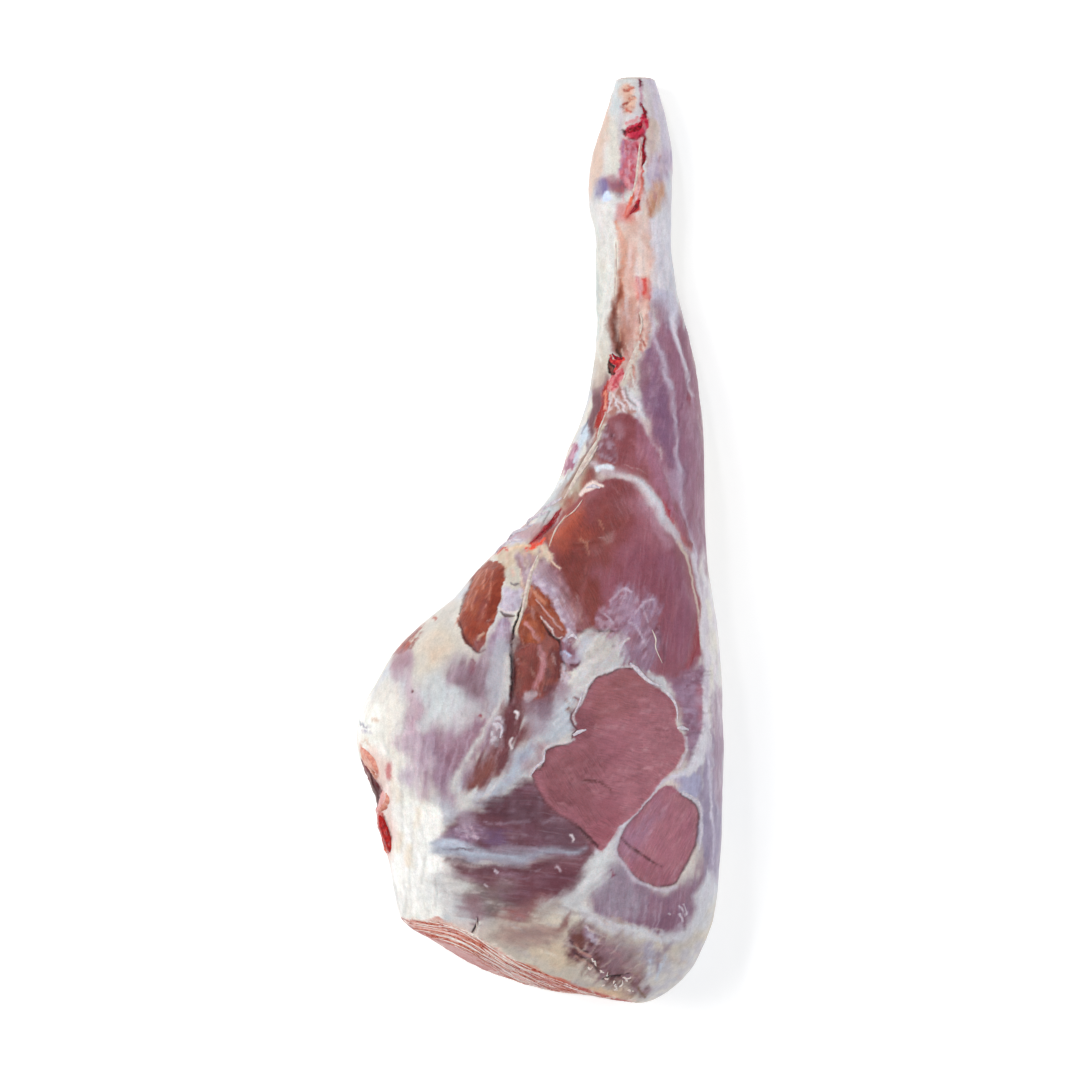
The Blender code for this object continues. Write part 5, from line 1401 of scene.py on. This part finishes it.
def mapped(tree, value, low, high, to_low=0.0, to_high=1.0):
    """A value from one range brought to another."""
    return node(tree, "ShaderNodeMapRange", None, Value=value, From_Min=low, From_Max=high, To_Min=to_low,
                To_Max=to_high).outputs[0]


def vectors(tree, operation, **links):
    """Vectors joined by an operation."""
    return node(tree, "ShaderNodeVectorMath", {"operation": operation}, **links).outputs[0]


def numbers(tree, operation, *values):
    """Numbers joined by an operation."""
    links = {f"i{k}": value for k, value in enumerate(values)}
    return node(tree, "ShaderNodeMath", {"operation": operation}, **links).outputs[0]


def mixed(tree, share, first, second, blend="MIX"):
    """One colour mixed with another."""
    settings = {"data_type": "RGBA", "blend_type": blend}
    return node(tree, "ShaderNodeMix", settings, i0=share, i6=first, i7=second).outputs[2]


def moisten(shader, specular, scatter, reach):
    """Lets light into a tissue, and makes it shine like water."""
    shader.inputs["IOR"].default_value = 1.40
    shader.inputs["Specular IOR Level"].default_value = specular
    shader.inputs["Subsurface Weight"].default_value = scatter
    shader.inputs["Subsurface Radius"].default_value = (1.0, 0.45, 0.35)
    shader.inputs["Subsurface Scale"].default_value = reach * MM


# Raw meat: fibres show on bare muscle, silverskin lays milky streaks over the rest, and fat is smooth
# with shallow wrinkles. All of it is moist, and the blood and the fresh cuts are wet.
FIBRE_SIZE = (0.8 * MM, 9.0 * MM, 3.0 * MM)
STREAK_SIZE = (1.5 * MM, 20.0 * MM, 6.0 * MM)
WRINKLE_SIZE = (3.0 * MM, 14.0 * MM, 5.0 * MM)

meat = bpy.data.materials.new("raw_meat")
meat.use_nodes = True
tree = meat.node_tree
shader = tree.nodes["Principled BSDF"]
painted_colour = node(tree, "ShaderNodeAttribute", {"attribute_name": "paint"}).outputs["Color"]
bare, veil, fat, wet, turn = (
    node(tree, "ShaderNodeAttribute", {"attribute_name": name}).outputs["Fac"]
    for name in ("bare", "veil", "fat", "wet", "turn")
)
place = node(tree, "ShaderNodeTexCoord").outputs["Object"]

# The fibres run along the turned direction, and bend a little on their way.
bend = vectors(tree, "SCALE", i0=noise(tree, place, 90.0, 2.0)["Color"], Scale=3.0 * MM)
bent = vectors(tree, "ADD", i0=place, i1=bend)
flow = node(tree, "ShaderNodeVectorRotate", {"rotation_type": "Z_AXIS"}, Vector=bent, Angle=turn).outputs[0]
fibres, streaks, wrinkles = (
    noise(tree, vectors(tree, "DIVIDE", i0=flow, i1=size), 1.0, detail, roughness)["Fac"]
    for size, detail, roughness in (
        (FIBRE_SIZE, 3.0, 0.6),
        (STREAK_SIZE, 4.0, 0.6),
        (WRINKLE_SIZE, 4.0, 0.65),
    )
)
patches = noise(tree, place, 110.0, 4.0, 0.6)["Fac"]
mottle = noise(tree, place, 330.0, 5.0, 0.65)["Fac"]
grit = noise(tree, place, 1300.0, 3.0, 0.6)["Fac"]

# Colour: each layer of texture darkens and lightens the paint a little, where its tissue is.
patchy = mapped(tree, patches, 0.35, 0.65, 0.25)
fibre_share = numbers(tree, "MULTIPLY", bare, patchy)
streak_share = numbers(tree, "MULTIPLY", veil, patchy)
tinted = painted_colour
for texture, share, span, dark, light in (
    (fibres, fibre_share, 0.2, 0.74, 1.24),
    (streaks, streak_share, 0.2, 0.86, 1.14),
    (wrinkles, fat, 0.2, 0.90, 1.06),
    (mottle, 0.8, 0.25, 0.86, 1.14),
    (grit, 0.9, 0.2, 0.90, 1.10),
):
    layer = mapped(tree, texture, 0.5 - span, 0.5 + span, dark, light)
    tinted = mixed(tree, share, tinted, layer, "MULTIPLY")
milk = numbers(tree, "MULTIPLY", streak_share, mapped(tree, streaks, 0.52, 0.75, 0.0, 0.16))
tinted = mixed(tree, milk, tinted, (*linear("#D2CAD8"), 1.0))
tree.links.new(tinted, shader.inputs["Base Color"])

# Relief: fibres, streaks and wrinkles of a few tenths of a millimetre.
relief = 0.0
for texture, share in (
    (fibres, fibre_share),
    (streaks, streak_share),
    (wrinkles, fat),
    (mottle, 0.8),
    (grit, 0.18),
):
    relief = numbers(tree, "MULTIPLY_ADD", texture, share, relief)
bump = node(tree, "ShaderNodeBump", None, Height=relief, Strength=0.7, Distance=0.7 * MM)
tree.links.new(bump.outputs["Normal"], shader.inputs["Normal"])
dry = mapped(tree, mottle, 0.3, 0.7, 0.36, 0.52)
rough = numbers(tree, "MULTIPLY_ADD", wet, -0.22, dry)
tree.links.new(rough, shader.inputs["Roughness"])
shader.inputs["Coat Weight"].default_value = 0.08
shader.inputs["Coat Roughness"].default_value = 0.15
moisten(shader, 0.32, 0.30, 1.0)
flesh_mesh.materials.clear()
flesh_mesh.materials.append(meat)

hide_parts("mutton_leg")
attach(flesh, "root")


# ---------------------------------------------------------------- threads, shreds and clots
# Sinew threads, shreds of silverskin torn at the windows and at the knee, flaps of the cut pocket, blood
# clots and crumbs of fat stick to the leg. Each is a soft strand that follows the leg's skin in plan and
# sinks into it, so nothing floats.
STRAND_SIDES = 8

skin_bm = bmesh.new()
skin_bm.from_mesh(flesh_mesh)
leg_skin = BVHTree.FromBMesh(skin_bm)
skin_bm.free()
lens = np.array((0.0, CAMERA_Y, CAMERA_HEIGHT))


def on_skin(line, above):
    """Places in metres where plan positions lie on the leg, raised by so many millimetres."""
    placed = []
    for x, y in line:
        way = np.array((x, y, PLAN_HEIGHT)) - lens
        hit, normal, _, _ = leg_skin.ray_cast(Vector(lens * MM), Vector(way))
        if hit is None:
            height = placed[-1].z if placed else 40.0 * MM
            hit, normal, _, _ = leg_skin.find_nearest(Vector((x * MM, y * MM, height)))
        placed.append(hit + normal * (above * MM))
    return placed


strand_tree = bpy.data.node_groups.new("flesh_strands", "GeometryNodeTree")
strand_tree.interface.new_socket("Geometry", in_out="INPUT", socket_type="NodeSocketGeometry")
flat_socket = strand_tree.interface.new_socket("Flatness", in_out="INPUT", socket_type="NodeSocketFloat")
lump_socket = strand_tree.interface.new_socket("Lump Height", in_out="INPUT", socket_type="NodeSocketFloat")
look_socket = strand_tree.interface.new_socket("Material", in_out="INPUT", socket_type="NodeSocketMaterial")
strand_tree.interface.new_socket("Geometry", in_out="OUTPUT", socket_type="NodeSocketGeometry")
given = node(strand_tree, "NodeGroupInput").outputs
thick = node(strand_tree, "GeometryNodeInputNamedAttribute", {"data_type": "FLOAT"}, Name="thick").outputs[0]
curve = node(strand_tree, "GeometryNodeMeshToCurve", None, Mesh=given["Geometry"]).outputs[0]
curve = node(strand_tree, "GeometryNodeSetCurveNormal", {"mode": "Z_UP"}, Curve=curve).outputs[0]
circle = node(strand_tree, "GeometryNodeCurvePrimitiveCircle", None, Resolution=STRAND_SIDES, Radius=1.0)
size = node(strand_tree, "ShaderNodeCombineXYZ", None, X=1.0, Y=given["Flatness"], Z=1.0).outputs[0]
ring = node(strand_tree, "GeometryNodeTransform", None, Geometry=circle.outputs[0], Scale=size).outputs[0]
whole = node(strand_tree, "GeometryNodeCurveToMesh", None, Curve=curve, Profile_Curve=ring, Scale=thick,
             Fill_Caps=True).outputs[0]
spot = node(strand_tree, "GeometryNodeInputPosition").outputs[0]
shake = noise(strand_tree, spot, 700.0, 3.0)["Color"]
shake = vectors(strand_tree, "SUBTRACT", i0=shake, i1=(0.5, 0.5, 0.5))
shake = vectors(strand_tree, "SCALE", i0=shake, Scale=given["Lump Height"])
for step, links in (
    ("SetPosition", {"Offset": shake}),
    ("SetShadeSmooth", {}),
    ("RealizeInstances", {}),
    ("SetMaterial", {"Material": given["Material"]}),
):
    whole = node(strand_tree, "GeometryNode" + step, None, Geometry=whole, **links).outputs[0]
node(strand_tree, "NodeGroupOutput", None, Geometry=whole)


def moist(name, tones, size, roughness, scatter):
    """A moist tissue in two tones, in lumps of that many millimetres."""
    material = bpy.data.materials.new(name)
    material.use_nodes = True
    tree = material.node_tree
    shader = tree.nodes["Principled BSDF"]
    place = node(tree, "ShaderNodeTexCoord").outputs["Object"]
    share = mapped(tree, noise(tree, place, 1 / (size * MM), 3.0)["Fac"], 0.38, 0.62)
    tone = mixed(tree, share, *((*linear(tone), 1.0) for tone in tones))
    tree.links.new(tone, shader.inputs["Base Color"])
    shader.inputs["Roughness"].default_value = roughness
    moisten(shader, 0.35, scatter, 0.6)
    return material


def strands(name, material, flatness, lump_height, paths):
    """Makes one object of strands, each with its plan path, radii along it and height, in millimetres."""
    spots, links, radii = [], [], []
    for points, widths, above in paths:
        line = curve_through(points, False)
        start = len(spots)
        spots += on_skin(line, above)
        links += [(k, k + 1) for k in range(start, len(spots) - 1)]
        radii += list(np.interp(np.linspace(0, 1, len(line)), np.linspace(0, 1, len(widths)), widths) * MM)
    mesh = bpy.data.meshes.new(name)
    mesh.from_pydata(spots, links, [])
    mesh.attributes.new("thick", "FLOAT", "POINT").data.foreach_set("value", np.array(radii, np.float32))
    strand_object = bpy.data.objects.new(name, mesh)
    bpy.context.scene.collection.objects.link(strand_object)
    modifier = strand_object.modifiers.new("strands", "NODES")
    modifier.node_group = strand_tree
    modifier[flat_socket.identifier] = flatness
    modifier[lump_socket.identifier] = lump_height * MM
    modifier[look_socket.identifier] = material
    evaluated = strand_object.evaluated_get(bpy.context.evaluated_depsgraph_get())
    solid = bpy.data.meshes.new_from_object(evaluated)
    strand_object.modifiers.clear()
    strand_object.data = solid
    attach(strand_object, "root")


# White and cream threads: tendons of the shank and the knee, and the edges of silverskin.
sinew_look = moist("sinew", ("#DDD3C8", "#C6B2AC"), 2.5, 0.42, 0.3)
strands("sinew_threads", sinew_look, 0.6, 0.25, (
    (
        ((-1, -9), (-4.5, -17.5), (-6, -23), (-8, -31.5), (-9.5, -39), (-12, -48)),
        (0.3, 0.9, 1.0, 0.9, 0.7, 0.3), 0.2
    ),
    (((54, 213.5), (53, 203.5), (52, 194), (49.5, 185)), (0.3, 0.7, 0.7, 0.3), 0.1),
    (((55, 110.5), (52, 102), (48, 92.5), (44.5, 85)), (0.6, 1.6, 1.7, 0.6), -0.5),
    (((33.5, 58), (28.5, 48.5), (23, 39), (18, 29.5), (12.5, 21)), (0.8, 2.0, 2.2, 2.2, 1.0), -0.9),
    (((31.5, 50), (27, 42.5), (21.5, 34)), (0.3, 0.7, 0.3), 0.5),
    (((23, 21), (19, 15.5), (14, 11.5)), (0.2, 0.4, 0.2), 0.2),
    (((14, 12.5), (8.5, 5), (5, -4)), (0.3, 0.5, 0.2), 0.1),
    (((60.5, -49), (62.5, -54), (62.5, -59), (66, -67)), (0.2, 0.4, 0.35, 0.1), 0.1),
    (((54, 122.5), (55, 117), (54, 110.5)), (0.3, 0.6, 0.3), 0.2),
    (((41, 160.5), (41, 146.5), (40, 131)), (0.3, 0.6, 0.3), 0.1),
    (((-34.5, -204.5), (-34, -209.5), (-35.5, -213.5)), (0.15, 0.35, 0.15), 0.1),
    (((35.5, 67.5), (32.5, 60), (31, 53.5)), (0.3, 0.6, 0.3), 0.1),
))

# Shreds of silverskin, torn at the rims of the windows and hanging at the front of the knee.
shred_look = moist("torn_silverskin", ("#D6CED4", "#B8AEBC"), 1.6, 0.38, 0.3)
strands("torn_silverskin", shred_look, 0.3, 0.7, (
    (((48.5, -67), (52, -70), (56, -74.5), (61, -78), (66.5, -79.5)), (0.4, 1.3, 1.1, 0.8, 0.2), 0.2),
    (((67, -81.5), (69.5, -84), (72.5, -88), (74, -93), (74, -99)), (0.3, 1.0, 0.7, 0.5, 0.2), 0.2),
    (((74, -102), (76.5, -102), (80, -103)), (0.5, 1.2, 0.4), 0.3),
    (((18, -106), (21, -104), (25, -103)), (0.6, 1.1, 0.4), 0.3),
    (((2.5, -114.5), (1.5, -120), (-2.5, -123.5), (-5, -127.5)), (0.3, 0.7, 0.7, 0.2), 0.2),
    (((23, -81.5), (21.5, -88), (19, -93.5)), (0.2, 0.6, 0.3), 0.2),
    (((78, -137), (85, -141.5), (87, -147.5)), (0.5, 0.7, 0.3), 0.2),
    (((25, 27.5), (29, 28.5), (32.5, 27.5)), (0.5, 1.1, 0.4), 0.2),
    (((12, 22), (7.5, 19), (3, 16.5), (0, 13.5)), (0.5, 1.4, 1.1, 0.3), 0.2),
    (((4.5, 14.5), (-1, 12), (-5.5, 9.5), (-7.5, 6)), (0.5, 1.3, 1.2, 0.3), 0.3),
    (((-3, 8), (-8, 5), (-13.5, 3), (-17.5, -1)), (0.4, 1.4, 1.2, 0.3), 0.3),
    (((-9.5, -0.5), (-15.5, -1.5), (-20.5, -4.5), (-24.5, -8.5)), (0.4, 1.2, 1.0, 0.3), 0.2),
    (((15, -53.5), (18, -52), (20.5, -54.5)), (0.4, 1.1, 0.4), 0.2),
    (((-23, -99), (-20.5, -102), (-21.5, -107.5)), (0.4, 0.9, 0.4), 0.1),
))

# Frayed fibres lie along the edge of the knife's cut, white and brown red.
FRAY_DEPTH = 11.5
edge_line = curve_through(CUT_BAND[:15], False)
out_of_cut = -np.array((math.sin(CUT_SLANT), math.cos(CUT_SLANT)))


def frayed(seed, count):
    """Random paths along the cut's edge, fewer and closer to it near its ends."""
    choose = np.random.default_rng(seed)
    paths = []
    for _ in range(count):
        reach = choose.integers(7, 26)
        start = choose.integers(0, len(edge_line) - reach)
        middle = (start + reach / 2) / len(edge_line)
        depth = FRAY_DEPTH * min(1.0, 0.3 + 5 * middle, 0.1 + 2.6 * (1 - middle)) * choose.uniform(0, 1)
        path = edge_line[start : start + reach : 5] + out_of_cut * depth
        path = path + choose.normal(0, 0.45, path.shape)
        paths.append((path, (0.1, choose.uniform(0.25, 0.5), 0.3, 0.1), choose.uniform(-0.1, 0.2)))
    return paths


strands("cut_white_fibres", moist("white_fibre", ("#F2E8E2", "#E4CDC4"), 2.0, 0.4, 0.3), 0.6, 0.3,
        frayed(71, 58))
strands("cut_red_fibres", moist("red_fibre", ("#A84636", "#D08A76"), 2.0, 0.4, 0.3), 0.6, 0.3,
        frayed(72, 56))

# Clotted blood at the hock, in the shank and in front of the knee.
blood_look = moist("clotted_blood", ("#A80E26", "#5E0614"), 1.2, 0.2, 0.1)
strands("blood_clots", blood_look, 0.5, 0.8, (
    (((45.5, 218.5), (48.5, 220), (52.5, 221.5), (55.5, 225)), (0.8, 1.9, 2.2, 1.2), -0.6),
    (((57, 227.5), (56, 231.5), (55, 235)), (0.7, 0.6, 0.2), 0.0),
    (((56.5, 216.5), (55.5, 210), (56, 204.5), (55, 201.5)), (0.5, 0.8, 0.9, 0.4), -0.1),
    (((53.5, 183), (52, 179.5), (48.5, 175.5)), (0.5, 1.1, 0.4), 0.0),
    (((39, 100), (41.5, 97.5), (44.5, 97.5)), (0.4, 1.0, 0.5), 0.1),
    (((9.5, 15), (5.5, 8.5), (0.5, 2.5), (-4.5, -2)), (0.5, 1.1, 1.2, 0.5), -0.4),
))

# The flaps of the cut pocket: salmon above, a pink bridge, and a red lobe of muscle below.
flap_look = moist("pocket_flap", ("#DFA08C", "#C87A6C"), 2.0, 0.32, 0.3)
strands("pocket_flaps", flap_look, 0.6, 0.6, (
    (
        ((-96.5, -112.5), (-94, -115), (-90, -119.5), (-88, -124.5), (-88, -129)),
        (1.2, 2.6, 3.0, 2.4, 0.9), -0.8
    ),
    (((-83, -137), (-82, -141), (-84, -144.5), (-87.5, -147)), (1.0, 2.2, 2.4, 1.2), -0.6),
))
lobe_look = moist("red_lobe", ("#B82420", "#8A1418"), 1.6, 0.22, 0.2)
strands("pocket_lobe", lobe_look, 0.7, 0.5, (
    (
        ((-86.5, -149), (-85, -154), (-82.5, -160.5), (-81, -166.5), (-82, -169.5)),
        (1.2, 2.6, 2.9, 2.5, 1.1), -0.7
    ),
))

# Shreds of fat at the lower end of the rump, where the knife left the leg.
crumb_look = moist("fat_crumbs", ("#E6DCD6", "#CDB8B2"), 1.0, 0.45, 0.3)
crumb_choice = np.random.default_rng(73)
crumb_spots = ((31, -229), (29.5, -232), (33, -233.5), (34.5, -236.5), (35.5, -240.5), (39, -241.5),
    (41, -239), (42.5, -243.5), (45.5, -241.5), (47.5, -244), (49, -241), (39.5, -244.5), (51.5, -243.5),
    (44.5, -237.5), (28, -227.5), (38, -237.5))
strands("fat_crumbs", crumb_look, 0.7, 0.4,
        [(np.array(spot) + np.cumsum(crumb_choice.normal(0, 0.9, (4, 2)), axis=0), (0.2, 0.6, 0.45, 0.15),
        0.0) for spot in crumb_spots])
